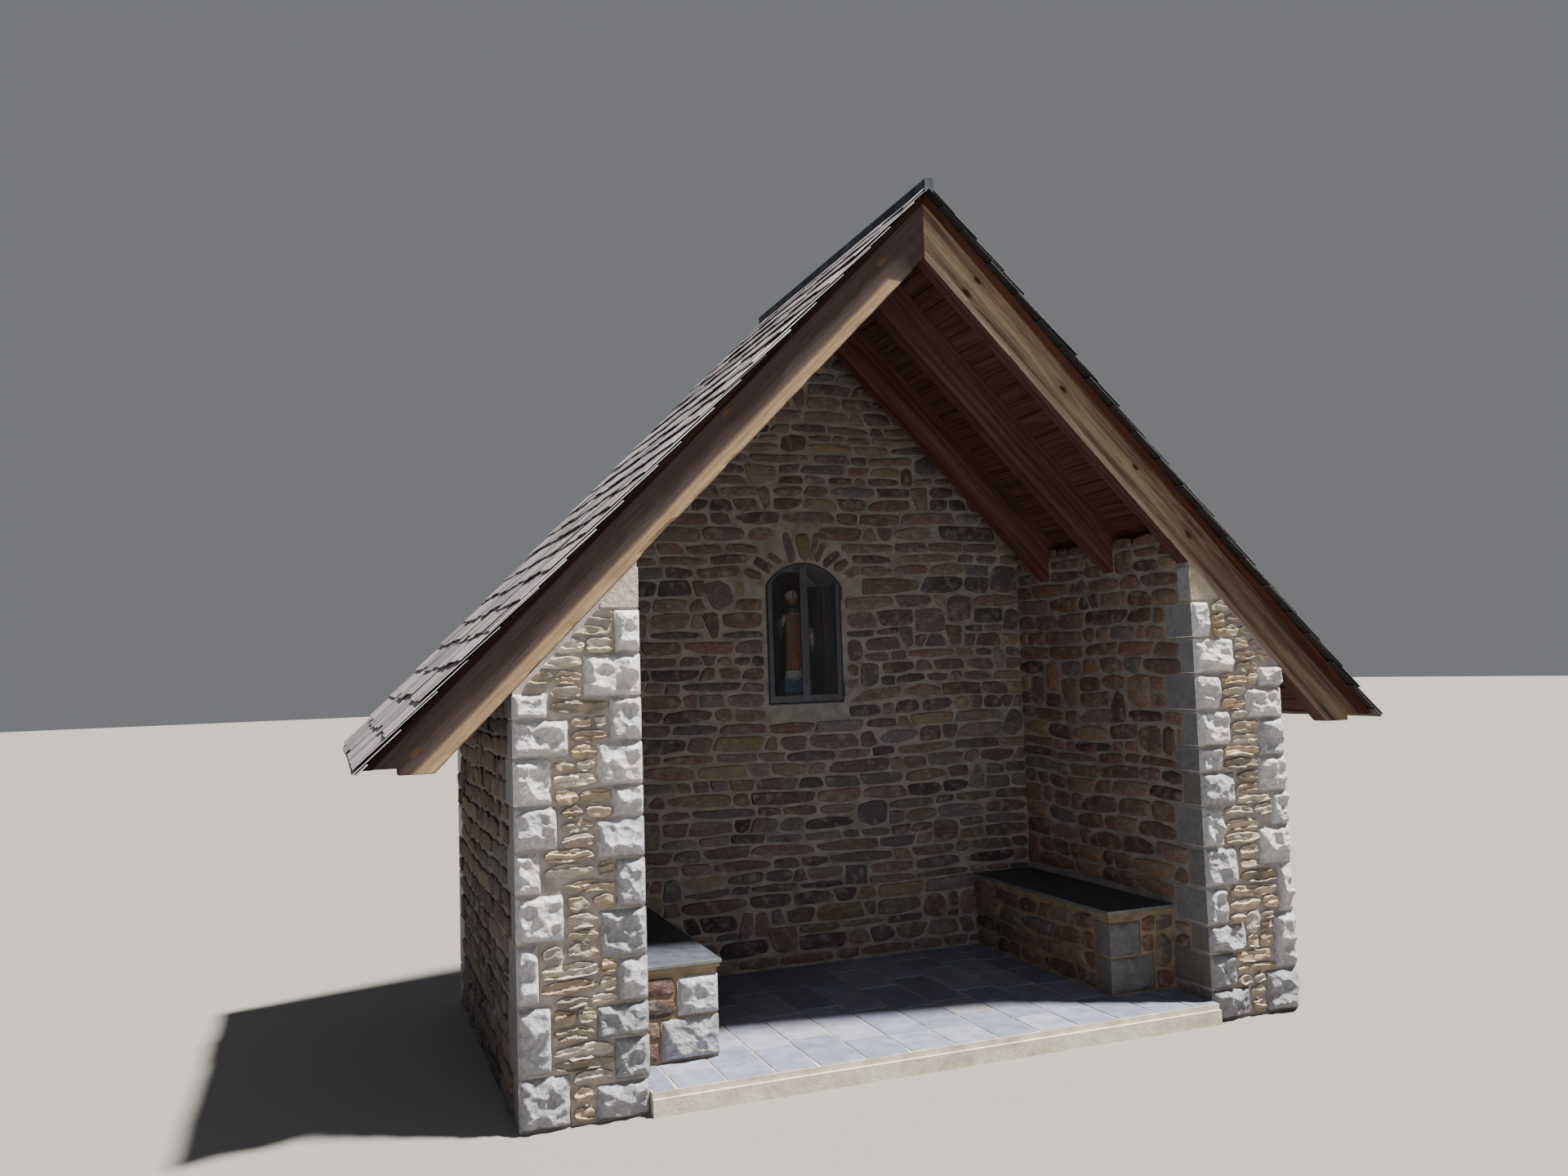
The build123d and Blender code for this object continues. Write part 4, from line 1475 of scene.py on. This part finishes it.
# Partly the sawn cut, partly painted light: the edges are coloured paler than the top
edge_hue = add_ramp(tree, seat_cloud, [(0.3, "#44494C"), (0.7, "#5C6264")])
facing = add_node(tree, "ShaderNodeNewGeometry").outputs["Normal"]
upward = add_node(tree, "ShaderNodeSeparateXYZ", links={"Vector": facing}).outputs["Z"]
flatness = add_range(tree, upward, (0.95, 0.6))
seat_colour = add_mix(tree, flatness, seat_hue, edge_hue)
tree.links.new(seat_colour, shader.inputs["Base Color"])
seat_bump = add_bump(tree, seat_cloud, 0.5, 0.003)
tree.links.new(seat_bump, shader.inputs["Normal"])
for name, side in (("left", -1), ("right", 1)):
    low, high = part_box(f"{name}_bench_seat")
    for part, bottom, top, inset in (
        ("slab", high.z - seat_thick, high.z, 0), ("bed", low.z, high.z - seat_thick, 0.007),
    ):
        bm = bmesh.new()
        corner_low = Vector((low.x, low.y + inset, bottom))
        corner_high = Vector((high.x, high.y, top))
        if side > 0:
            corner_low.x += inset
        else:
            corner_high.x -= inset
        add_box(bm, (corner_low + corner_high) / 2, corner_high - corner_low)
        ease_edges(bm, 0.0025)
        if part == "slab":
            finish_piece(
                f"{name}_seat_slab", bm, seat_slate,
                replaced=(f"{name}_bench_seat",),
            )
        else:
            finish_piece(f"{name}_seat_bed", bm, warm_mortar)

# %% [markdown]
# The niche is closed by a glazed door of steel bars, painted dark slate blue by hand. The
# paint is satin and thick, with faint brush ripples, so the noise is drawn out upwards.

# %% Painted steel
painted_steel, tree, shader = new_material("slate_blue_painted_steel", 0.42, ior=1.5)
place = add_node(tree, "ShaderNodeTexCoord").outputs["Object"]
brushed = add_stretch(tree, place, (1, 1, 0.15))
ripples = add_noise(tree, brushed, 320, 3)
grime = add_noise(tree, place, 24, 6)
steel_hue = add_ramp(tree, grime, [(0.35, "#20202B"), (0.6, "#2C2C3A"), (0.72, "#3A3A4A")])
tree.links.new(steel_hue, shader.inputs["Base Color"])
steel_bump = add_bump(tree, ripples, 0.3, 0.0008)
tree.links.new(steel_bump, shader.inputs["Normal"])

for name in ("niche_frame", "niche_door"):
    refinish(name, painted_steel)
print("paint on the niche's steel")

# %% [markdown]
# The pane is clear window glass, a little dusty. Glass that bends light would cost much time
# here and show no more, so it is a shiny sheet that lets nearly all light through, with a
# thin grey veil of dust over what is behind it.

# %% Glass
window_glass, tree, shader = new_material("window_glass", 0.06, ior=1.5)
place = add_node(tree, "ShaderNodeTexCoord").outputs["Object"]
dust = add_noise(tree, place, 7, 5)
veil = add_range(tree, dust, (0.3, 0.8), (0.07, 0.16))
tree.links.new(veil, shader.inputs["Alpha"])
shader.inputs["Base Color"].default_value = linear("#4A5258")
refinish("niche_glass", window_glass)
print("pane finished")

# %% [markdown]
# The figure's plinth is a small block of wood, dark below and painted blue above, worn in
# specks.

# %% Plinth
plinth_low, plinth_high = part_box("figure_plinth")
plinth_paint, tree, shader = new_material("painted_plinth_wood", 0.6, ior=1.5)
place = add_node(tree, "ShaderNodeTexCoord").outputs["Object"]
level = add_node(tree, "ShaderNodeSeparateXYZ", links={"Vector": place}).outputs["Z"]
upper = add_node(
    tree, "ShaderNodeMapRange",
    values={"From Min": plinth_low.z + 0.068, "From Max": plinth_low.z + 0.070},
    links={"Value": level},
)
worn = add_node(
    tree, "ShaderNodeTexNoise", values={"Scale": 60, "Detail": 6}, links={"Vector": place}
)
blue = add_ramp(tree, worn.outputs["Fac"], [(0.35, "#1C2A44"), (0.6, "#2B4468"), (0.75, "#4A6484")])
wood = add_ramp(tree, worn.outputs["Fac"], [(0.35, "#1C1512"), (0.65, "#33261F")])
plinth_colour = add_mix(tree, upper.outputs["Result"], wood, blue)
tree.links.new(plinth_colour, shader.inputs["Base Color"])
refinish("figure_plinth", plinth_paint)
print("plinth finished")

# %% [markdown]
# Upright boards line the niche: three on each cheek, gone grey, and four at the back, dark
# and each as tall as the arch allows over it. The back boards' darkness is partly their stain
# and partly painted shade of the deep niche.

# %% Boards in the niche
lining_stops = [(0.3, "#453B34"), (0.5, "#5E5248"), (0.68, "#73675A")]
lining_pine = make_timber("grey_lining_board", 2, lining_stops, 0.03)
# Partly dark stain, partly painted shade of the deep niche
panel_stops = [(0.3, "#1B1512"), (0.5, "#2C211B"), (0.7, "#453024")]
panel_pine = make_timber("dark_panel_board", 2, panel_stops, 0.03)
frame_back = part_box("niche_frame")[1].y + 0.002
board_depth = (niche_back_y - frame_back) / 3
rng = random.Random(77)
bm = bmesh.new()
for cheek in (niche_left, niche_right):
    inward = 1 if cheek == niche_left else -1
    for index in range(3):
        thick = 0.007 + rng.uniform(0, 0.002)
        size = (thick, board_depth - 0.002, spring_z - sill_z - 0.01)
        middle = (
            cheek + inward * (thick / 2 + 0.0005), frame_back + board_depth * (index + 0.5),
            (sill_z + spring_z) / 2,
        )
        add_box(bm, middle, size)
ease_edges(bm, 0.002)
finish_piece("niche_lining_boards", bm, lining_pine)
bm = bmesh.new()
panel_width = (niche_right - niche_left - 0.02) / 4
for index in range(4):
    thick = 0.008 + rng.uniform(0, 0.002)
    x = niche_left + 0.01 + panel_width * (index + 0.5)
    crown = arch_z + math.sqrt(arch_radius**2 - (abs(x - niche_x) + panel_width / 2) ** 2) - 0.004
    middle = (x, niche_back_y - thick / 2 - 0.0005, (sill_z + crown) / 2 + 0.003)
    add_box(bm, middle, (panel_width - 0.002, thick, crown - sill_z - 0.006))
ease_edges(bm, 0.002)
finish_piece("niche_back_panel", bm, panel_pine)

# %% [markdown]
# The figure is a carved statuette in long vestments, plastered and painted. Every face
# carries the number of its paint, so one finish does for skin, linen, silk and gilding.

# %% Paints of the figure
paints = {
    "linen": "#8D8A86", "skin": "#7A5038", "hair": "#181110", "lips": "#6A3428",
    "gilt": "#705432", "wine": "#471F1B", "silver": "#7B7874", "dark": "#241C19",
    "brocade": "#5C2E24", "lining": "#2B1B19",
}
paint_names = list(paints)
paint_share = {name: (index + 0.5) / len(paints) for index, name in enumerate(paint_names)}
painted_plaster, tree, shader = new_material("aged_painted_plaster", 0.58, ior=1.5)
place = add_node(tree, "ShaderNodeTexCoord").outputs["Object"]
paint = add_node(tree, "ShaderNodeAttribute", attribute_name="paint")
pots = add_node(
    tree, "ShaderNodeValToRGB", links={"Fac": paint.outputs["Fac"]},
    stops=[(index / len(paints), paints[name]) for index, name in enumerate(paint_names)],
)
pots.color_ramp.interpolation = "CONSTANT"
# Dust and old varnish lie in soft clouds, and the thin paint is rubbed in small specks
clouds = add_noise(tree, place, 55, 6)
age = add_range(tree, clouds, (0.25, 0.75), (0.62, 1.3))
# The front panel is painted as brocade: small gilt buds, 9 mm apart, on rust red
buds = add_node(
    tree, "ShaderNodeTexVoronoi", feature="F1", values={"Scale": 110, "Randomness": 0.35},
    links={"Vector": place},
)
bud = add_range(tree, buds.outputs["Distance"], (0.36, 0.28), (0, 0.75))
on_panel = add_math(
    tree, "COMPARE", paint.outputs["Fac"], (paint_names.index("brocade") + 0.5) / len(paints), 0.02
)
bud_share = add_math(tree, "MULTIPLY", bud, on_panel)
figured = add_mix(tree, bud_share, pots.outputs["Color"], linear(paints["gilt"]))
aged = add_scale(tree, figured, age)
tree.links.new(aged, shader.inputs["Base Color"])
specks = add_noise(tree, place, 700, 3)
plaster_bump = add_bump(tree, specks, 0.3, 0.0006)
tree.links.new(plaster_bump, shader.inputs["Normal"])

print(len(paints), "paints in the box")

# %% [markdown]
# The robes are built as a dressmaker would: rings of cloth one above the other, each a circle
# waved into folds, are bridged into a skin. All sizes are in head heights, the sculptor's
# measure, so the figure stays in proportion.

# %% Rings of cloth
figure_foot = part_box("niche_figure")[0].z
figure_y = (plinth_low.y + plinth_high.y) / 2
head = (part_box("niche_figure")[1].z - figure_foot) / 8.2
figure_bm = bmesh.new()
paint_layer = figure_bm.faces.layers.float.new("paint")


def spot(reach, forward, level):
    """A point of the figure in head heights: sideways, forwards, and above its foot."""
    return Vector((niche_x + reach * head, figure_y - forward * head, figure_foot + level * head))


def apply_paint(faces, name):
    """Gives faces the number of their paint."""
    for face in faces:
        face[paint_layer] = paint_share[name]


def drape(rings, colour, count=64):
    """Bridges rings, each a function from an angle to a point, into a closed painted skin."""
    before = set(figure_bm.faces)
    loops = []
    for ring in rings:
        verts = bmesh.ops.create_circle(figure_bm, segments=count, radius=1)["verts"]
        edges = {edge for vert in verts for edge in vert.link_edges}
        for vert in verts:
            vert.co = ring(math.atan2(vert.co.y, vert.co.x))
        if loops:
            bmesh.ops.bridge_loops(figure_bm, edges=list(edges) + loops[-1])
        loops.append(list(edges))
    bmesh.ops.holes_fill(figure_bm, edges=loops[0] + loops[-1])
    made = [face for face in figure_bm.faces if face not in before]
    bmesh.ops.recalc_face_normals(figure_bm, faces=made)
    apply_paint(made, colour)
    return made


def robe_ring(level, half_width, half_depth, folds=0, depth=0.0, forward=0.0, turn=0.0):
    """A level ring of a robe, waved into folds."""
    def ring(angle):
        """The ring's point at one angle."""
        wave = 1 + depth * (math.cos(folds * angle + turn) + 0.4 * math.sin(2.3 * angle + turn))
        x, y = math.cos(angle) * wave, math.sin(angle) * wave
        return spot(half_width * x, forward + half_depth * y, level)
    return ring


print("head height", round(head, 3))

# %% [markdown]
# A pleated linen under-robe shows at the feet, and over it hangs the wine-red robe with a
# brocade panel and gilt hems. A rolled collar dips over the chest.

# %% Under-robe and outer robe
under_rings = [
    robe_ring(level, half_width, half_width * 0.72, 26, 0.03)
    for level, half_width in ((0.0, 0.79), (0.06, 0.80), (0.4, 0.77), (0.8, 0.72), (1.2, 0.66))
]
drape(under_rings, "linen", 156)
outer_rings = [robe_ring(0.95, 0.7, 0.5)] + [
    robe_ring(level, half_width, half_depth, 9, depth, turn=0.6 + 0.05 * level)
    for level, half_width, half_depth, depth in (
        (0.80, 0.80, 0.585, 0.045), (0.84, 0.825, 0.61, 0.05), (1.6, 0.80, 0.59, 0.042),
        (2.4, 0.775, 0.565, 0.035), (3.2, 0.76, 0.54, 0.03), (4.0, 0.765, 0.53, 0.022),
        (4.8, 0.785, 0.51, 0.015), (5.4, 0.84, 0.47, 0.01), (5.75, 0.86, 0.44, 0.005),
        (5.95, 0.78, 0.41, 0), (6.12, 0.6, 0.37, 0), (6.25, 0.42, 0.32, 0), (6.3, 0.3, 0.27, 0),
    )
]
outer = drape(outer_rings, "wine", 96)
for face in outer:
    middle = face.calc_center_median()
    across = abs(middle.x - niche_x) / head
    if middle.y < figure_y and across < 0.5:
        face[paint_layer] = paint_share["brocade"]
    if middle.y < figure_y and 0.5 < across < 0.58 or middle.z < spot(0, 0, 0.9).z:
        face[paint_layer] = paint_share["gilt"]


def collar_ring(turn, thick):
    """One cross-section of the collar, a roll that dips low over the chest."""
    sag = 0.22 * max(0.0, math.sin(turn)) ** 1.5
    out = Vector((math.cos(turn), math.sin(turn)))
    def ring(angle):
        """The ring's point at one angle."""
        radius = 0.40 + 0.10 * max(0.0, math.sin(turn)) + thick * math.cos(angle)
        level = 6.18 - sag + thick * math.sin(angle)
        return spot(out.x * radius, 0.02 + out.y * radius * 0.95, level)
    return ring


drape([collar_ring(math.tau * step / 40, 0.042) for step in range(41)], "linen", 8)
print("robes", len(figure_bm.faces), "faces")

# %% [markdown]
# Each arm bends at the elbow, and its sleeve hangs open from the wrist like a flag. The upper
# arm is a run of round rings across the arm. On the forearm the rings stand upright, and the
# lower half of each is pulled further down, until the last one is as long as the sleeve.

# %% Arms and sleeves
hand_levels = {-1: 5.2, 1: 4.3}
sleeve_drops = {-1: 1.3, 1: 1.9}


def arm_ring(start, end, share, radius):
    """A round ring across the line from start to end."""
    axis = (end - start).normalized()
    side = axis.cross(Vector((0, 1, 0))).normalized()
    other = axis.cross(side)
    centre = start.lerp(end, share)
    return lambda angle: centre + (side * math.cos(angle) + other * math.sin(angle)) * radius * head


def sleeve_ring(elbow, hand, share, radius, drop, inset=0.0):
    """An upright ring across the forearm, its lower half drawn down by the sleeve's weight."""
    along = Vector((hand.x - elbow.x, hand.y - elbow.y, 0)).normalized()
    across = Vector((0, 0, 1)).cross(along)
    centre = elbow.lerp(hand, share)
    def ring(angle):
        """The ring's point at one angle."""
        fall = (radius - inset) if math.sin(angle) > 0 else (radius - inset + drop)
        narrow = 1 - 0.35 * max(0.0, -math.sin(angle)) * min(1.0, drop)
        ripple = 0.02 * math.sin(angle * 9) * drop
        x = (radius - inset) * narrow * math.cos(angle) + ripple
        return centre + (across * x + Vector((0, 0, math.sin(angle) * fall))) * head
    return ring


for side in (-1, 1):
    shoulder, elbow = spot(side * 0.66, 0, 5.85), spot(side * 1.2, 0, 4.75)
    hand = spot(side * 1.55, 1.0, hand_levels[side])
    drop = sleeve_drops[side]
    upper = [arm_ring(shoulder, elbow, share, radius) for share, radius in (
        (-0.12, 0.12), (0.0, 0.2), (0.35, 0.225), (0.7, 0.215), (0.95, 0.22), (1.08, 0.16),
    )]
    drape(upper, "linen", 20)
    fore = [
        sleeve_ring(elbow, hand, share, radius, drop * max(0.0, share) ** 1.6)
        for share, radius in ((-0.12, 0.12), (0.0, 0.21), (0.3, 0.23), (0.6, 0.25), (0.85, 0.27))
    ]
    fore.append(sleeve_ring(elbow, hand, 0.93, 0.28, drop * 0.92))
    fore.append(sleeve_ring(elbow, hand, 0.93, 0.28, drop * 0.92, inset=0.05))
    fore.append(sleeve_ring(elbow, hand, 0.6, 0.15, drop * 0.3, inset=0.05))
    sleeve = drape(fore, "linen", 28)
    for face in sleeve:
        if face.normal.dot((hand - elbow).normalized()) > 0.6:
            face[paint_layer] = paint_share["lining"]
print("with sleeves", len(figure_bm.faces), "faces")

# %% [markdown]
# A hand is a palm, four fingers of two joints and a thumb, each a smooth egg sunk into the
# next. At this size that reads as a hand, and it stays light.

# %% Hands


def blob(centre, half, colour, turn=(0, 0, 0), detail=3):
    """A smooth egg with three half-lengths, for hands and features."""
    turned = Matrix.LocRotScale(centre, Euler(turn), Vector([h * head for h in half]))
    verts = bmesh.ops.create_icosphere(
        figure_bm, subdivisions=detail, radius=1, matrix=turned
    )["verts"]
    apply_paint(faces_of(verts), colour)
    return verts


for side in (-1, 1):
    hand = spot(side * 1.50, 0.95, hand_levels[side])
    ahead_of_wrist = Vector((side * 0.33, -0.94, 0)).normalized()
    heading = math.atan2(ahead_of_wrist.y, ahead_of_wrist.x)
    blob(hand, (0.17, 0.055, 0.11), "skin", turn=(0, 0, heading), detail=2)
    for finger in range(4):
        rise = (finger - 1.5) * 0.05
        root = hand + ahead_of_wrist * 0.16 * head + Vector((0, 0, rise * head))
        for joint_index, reach in enumerate((0.04, 0.11)):
            curl = Vector((side * 0.012 * joint_index * head, 0, 0))
            tip = root + ahead_of_wrist * reach * head - curl
            blob(tip, (0.06, 0.026, 0.026), "skin", turn=(0, 0, heading), detail=1)
    thumb = hand + Vector((-side * 0.05, -0.05, 0.10)) * head
    blob(thumb, (0.08, 0.03, 0.03), "skin", turn=(0.2, -0.7, heading), detail=1)
print("with hands", len(figure_bm.faces), "faces")

# %% [markdown]
# The head follows the artist's rule of thumb: eyes half way up, the nose's foot half way from
# the eyes to the chin, the mouth a third below it, five eye widths across. The expression is
# calm and belongs to nobody: lids a little lowered, mouth closed.

# %% Head and face
skull = 0.5
face_scale = 1.13
face_middle = spot(0, 0.02, 7.08)


def at_face(reach, forward, rise):
    """A point in the head, in parts of its own size from its middle."""
    return face_middle + Vector((reach, -forward, rise)) * head * face_scale


def feature(place, half, colour, turn=(0, 0, 0), detail=3):
    """A smooth egg in the head, its place and half-lengths in parts of the head's size."""
    return blob(at_face(*place), [h * face_scale for h in half], colour, turn, detail)


drape([
    robe_ring(level, half, half, forward=0.0)
    for level, half in ((6.1, 0.27), (6.3, 0.24), (6.5, 0.23), (6.85, 0.235))
], "skin", 32)
skin_verts = feature((0, 0, 0), (0.315, 0.375, skull * 0.93), "skin", detail=4)
for vert in skin_verts:
    x, f, h = (vert.co - face_middle) / (head * face_scale)
    f = -f
    if h < 0:
        narrow = 1 - 0.22 * min(1.0, -h / skull) ** 1.5
        x, f = x * narrow, f * (1 - 0.1 * min(1.0, -h / skull))
    if f > 0.1:
        eye = math.exp(-(((abs(x) - 0.13) / 0.075) ** 2) - ((h - 0.02) / 0.055) ** 2)
        brow = math.exp(-((x / 0.24) ** 2) - ((h - 0.10) / 0.035) ** 2)
        bridge = math.exp(-((x / 0.042) ** 2) - ((h + 0.03) / 0.10) ** 2)
        tip = math.exp(-((x / 0.055) ** 2) - ((h + 0.115) / 0.04) ** 2)
        cheek = math.exp(-(((abs(x) - 0.19) / 0.07) ** 2) - ((h + 0.1) / 0.07) ** 2)
        chin = math.exp(-((x / 0.09) ** 2) - ((h + 0.40) / 0.06) ** 2)
        f += -0.05 * eye + 0.022 * brow + 0.045 * bridge + 0.06 * tip + 0.018 * cheek + 0.03 * chin
    vert.co = at_face(x, f, h)
for side in (-1, 1):
    feature((side * 0.13, 0.305, 0.02), (0.058, 0.045, 0.04), "linen")
    feature((side * 0.13, 0.340, 0.012), (0.024, 0.014, 0.024), "dark", detail=2)
    feature((side * 0.13, 0.308, 0.042), (0.064, 0.050, 0.030), "skin")
    feature((side * 0.13, 0.306, -0.018), (0.058, 0.043, 0.018), "skin")
    feature((side * 0.135, 0.345, 0.105), (0.075, 0.02, 0.012), "hair", turn=(0, side * 0.12, 0))
    feature((side * 0.055, 0.375, -0.135), (0.03, 0.035, 0.022), "skin", detail=2)
    feature((side * 0.325, -0.02, -0.03), (0.035, 0.07, 0.10), "skin")
feature((0, 0.345, -0.215), (0.075, 0.03, 0.012), "lips")
feature((0, 0.340, -0.236), (0.065, 0.03, 0.014), "lips")
print("with its head", len(figure_bm.faces), "faces")

# %% [markdown]
# Hair and a full beard are masses first, as a carver blocks them out, and then grooves are
# combed into them from the crown down.

# %% Hair and beard


def carve_strands(verts, middle, wave, depth):
    """Combs grooves into a mass of hair, running down from its crown."""
    for vert in verts:
        away = vert.co - middle
        angle = math.atan2(away.y, away.x) * wave + away.z / head * 9
        vert.co += away.normalized() * math.sin(angle) * depth * head


hair = feature((0, -0.09, 0.05), (0.385, 0.36, 0.47), "hair", detail=5)
carve_strands(hair, at_face(0, -0.09, 0.05), 30, 0.012)
beard = feature((0, 0.17, -0.37), (0.235, 0.2, 0.2), "hair", detail=5)
carve_strands(beard, at_face(0, 0.17, -0.37), 26, 0.012)
for side in (-1, 1):
    cheek_hair = feature((side * 0.235, 0.12, -0.24), (0.08, 0.13, 0.18), "hair", detail=4)
    carve_strands(cheek_hair, at_face(side * 0.235, 0.12, -0.24), 14, 0.01)
    feature(
        (side * 0.055, 0.365, -0.19), (0.075, 0.03, 0.02), "hair",
        turn=(0, side * 0.25, side * 0.25),
    )
print("with its hair", len(figure_bm.faces), "faces")

# %% [markdown]
# The tall cap is two stiff points, before and behind, over one band. Rings do for this too:
# level at the band, rising to the points, and the last ones turned in to close the top.

# %% Mitre


def mitre_ring(foot, peak, half_width, half_depth):
    """A ring of the tall cap: level at its foot, rising to a point before and behind."""
    def ring(angle):
        """The ring's point at one angle."""
        x, y = math.cos(angle), math.sin(angle)
        point = 1 - abs(x) ** 1.15
        return spot(half_width * x, half_depth * y, foot + (peak - foot) * point)
    return ring


mitre = drape([
    mitre_ring(7.22, 7.22, 0.44, 0.40), mitre_ring(7.24, 7.24, 0.49, 0.45),
    mitre_ring(7.39, 7.39, 0.515, 0.455), mitre_ring(7.41, 7.41, 0.505, 0.445),
    mitre_ring(7.58, 7.68, 0.58, 0.43), mitre_ring(7.66, 7.90, 0.61, 0.40),
    mitre_ring(7.70, 8.19, 0.605, 0.33), mitre_ring(7.705, 8.15, 0.57, 0.30),
    mitre_ring(7.64, 7.64, 0.52, 0.05),
], "silver", 64)
for face in mitre:
    middle = face.calc_center_median()
    if middle.z < spot(0, 0, 7.40).z or abs(middle.x - niche_x) < 0.045 * head:
        face[paint_layer] = paint_share["gilt" if middle.z < spot(0, 0, 7.40).z else "dark"]
finish_piece(
    "standing_figure", figure_bm, painted_plaster, replaced=("niche_figure",),
    smooth=True,
)

# %% [markdown]
# The camera stands where the photographer stood, in front of the left corner: its place,
# direction, roll and lens were fitted to the photograph.

# %% Camera
camera_data = bpy.data.cameras.new("camera")
camera_data.sensor_width = 36
camera_data.lens = 28.02
camera = bpy.data.objects.new("camera", camera_data)
bpy.context.scene.collection.objects.link(camera)
yaw, rise, roll = math.radians(20.70), math.radians(3.765), math.radians(-1.876)
ahead = Vector((math.sin(yaw) * math.cos(rise), math.cos(yaw) * math.cos(rise), math.sin(rise)))
level_right = Vector((math.cos(yaw), -math.sin(yaw), 0))
level_up = level_right.cross(ahead)
rolled_right = level_right * math.cos(roll) + level_up * math.sin(roll)
rolled_up = level_up * math.cos(roll) - level_right * math.sin(roll)
turn = Matrix((rolled_right, rolled_up, -ahead)).transposed().to_4x4()
camera.matrix_world = Matrix.Translation((-2.624, -6.033, 1.779)) @ turn
bpy.context.scene.camera = camera
print("camera at", [round(c, 3) for c in camera.matrix_world.translation])

# %% [markdown]
# The floor is plain and pale. The sun stands high on the right, where the photograph's
# shadows put it, and is made four degrees wide so that its shadows are soft. Two weak broad
# lamps and a dim grey sky open the shade.

# %% Floor and light
ground_mesh = bpy.data.meshes.new("studio_floor")
ground_bm = bmesh.new()
bmesh.ops.create_grid(ground_bm, x_segments=1, y_segments=1, size=60)
ground_bm.to_mesh(ground_mesh)
ground_bm.free()
ground = bpy.data.objects.new("studio_floor", ground_mesh)
bpy.context.scene.collection.objects.link(ground)
ground_material, _, ground_shader = new_material("studio_floor", 0.9)
ground_shader.inputs["Base Color"].default_value = linear("#706E6B")
ground_mesh.materials.append(ground_material)

world = bpy.data.worlds.new("studio")
bpy.context.scene.world = world
world.use_nodes = True
sky = world.node_tree.nodes["Background"]
sky.inputs["Color"].default_value = linear("#E6E9EE")
sky.inputs["Strength"].default_value = 0.23


def add_lamp(name, kind, place, target, size, power, hex_code):
    """A lamp that faces a target; size is a side in metres, or an angle for the sun."""
    data = bpy.data.lights.new(name, kind)
    if kind == "SUN":
        data.angle = size
    else:
        data.size = size
    data.energy = power
    data.color = linear(hex_code)[:3]
    lamp = bpy.data.objects.new(name, data)
    bpy.context.scene.collection.objects.link(lamp)
    lamp.location = place
    aim = Vector(target) - Vector(place)
    lamp.rotation_euler = aim.to_track_quat("-Z", "Y").to_euler()


add_lamp("sun_lamp", "SUN", (10.4, -5.2, 24.6), (0, -0.6, 1.2), 0.07, 21.0, "#FFF9F0")
add_lamp("fill_lamp", "AREA", (-6.0, -8.0, 5.0), (0, 0, 1.5), 4.0, 125, "#E8F0FF")
add_lamp("room_lamp", "AREA", (-1.0, -5.5, 1.2), (0.2, 0.5, 1.5), 2.5, 40, "#FFF8EE")
print("light set")
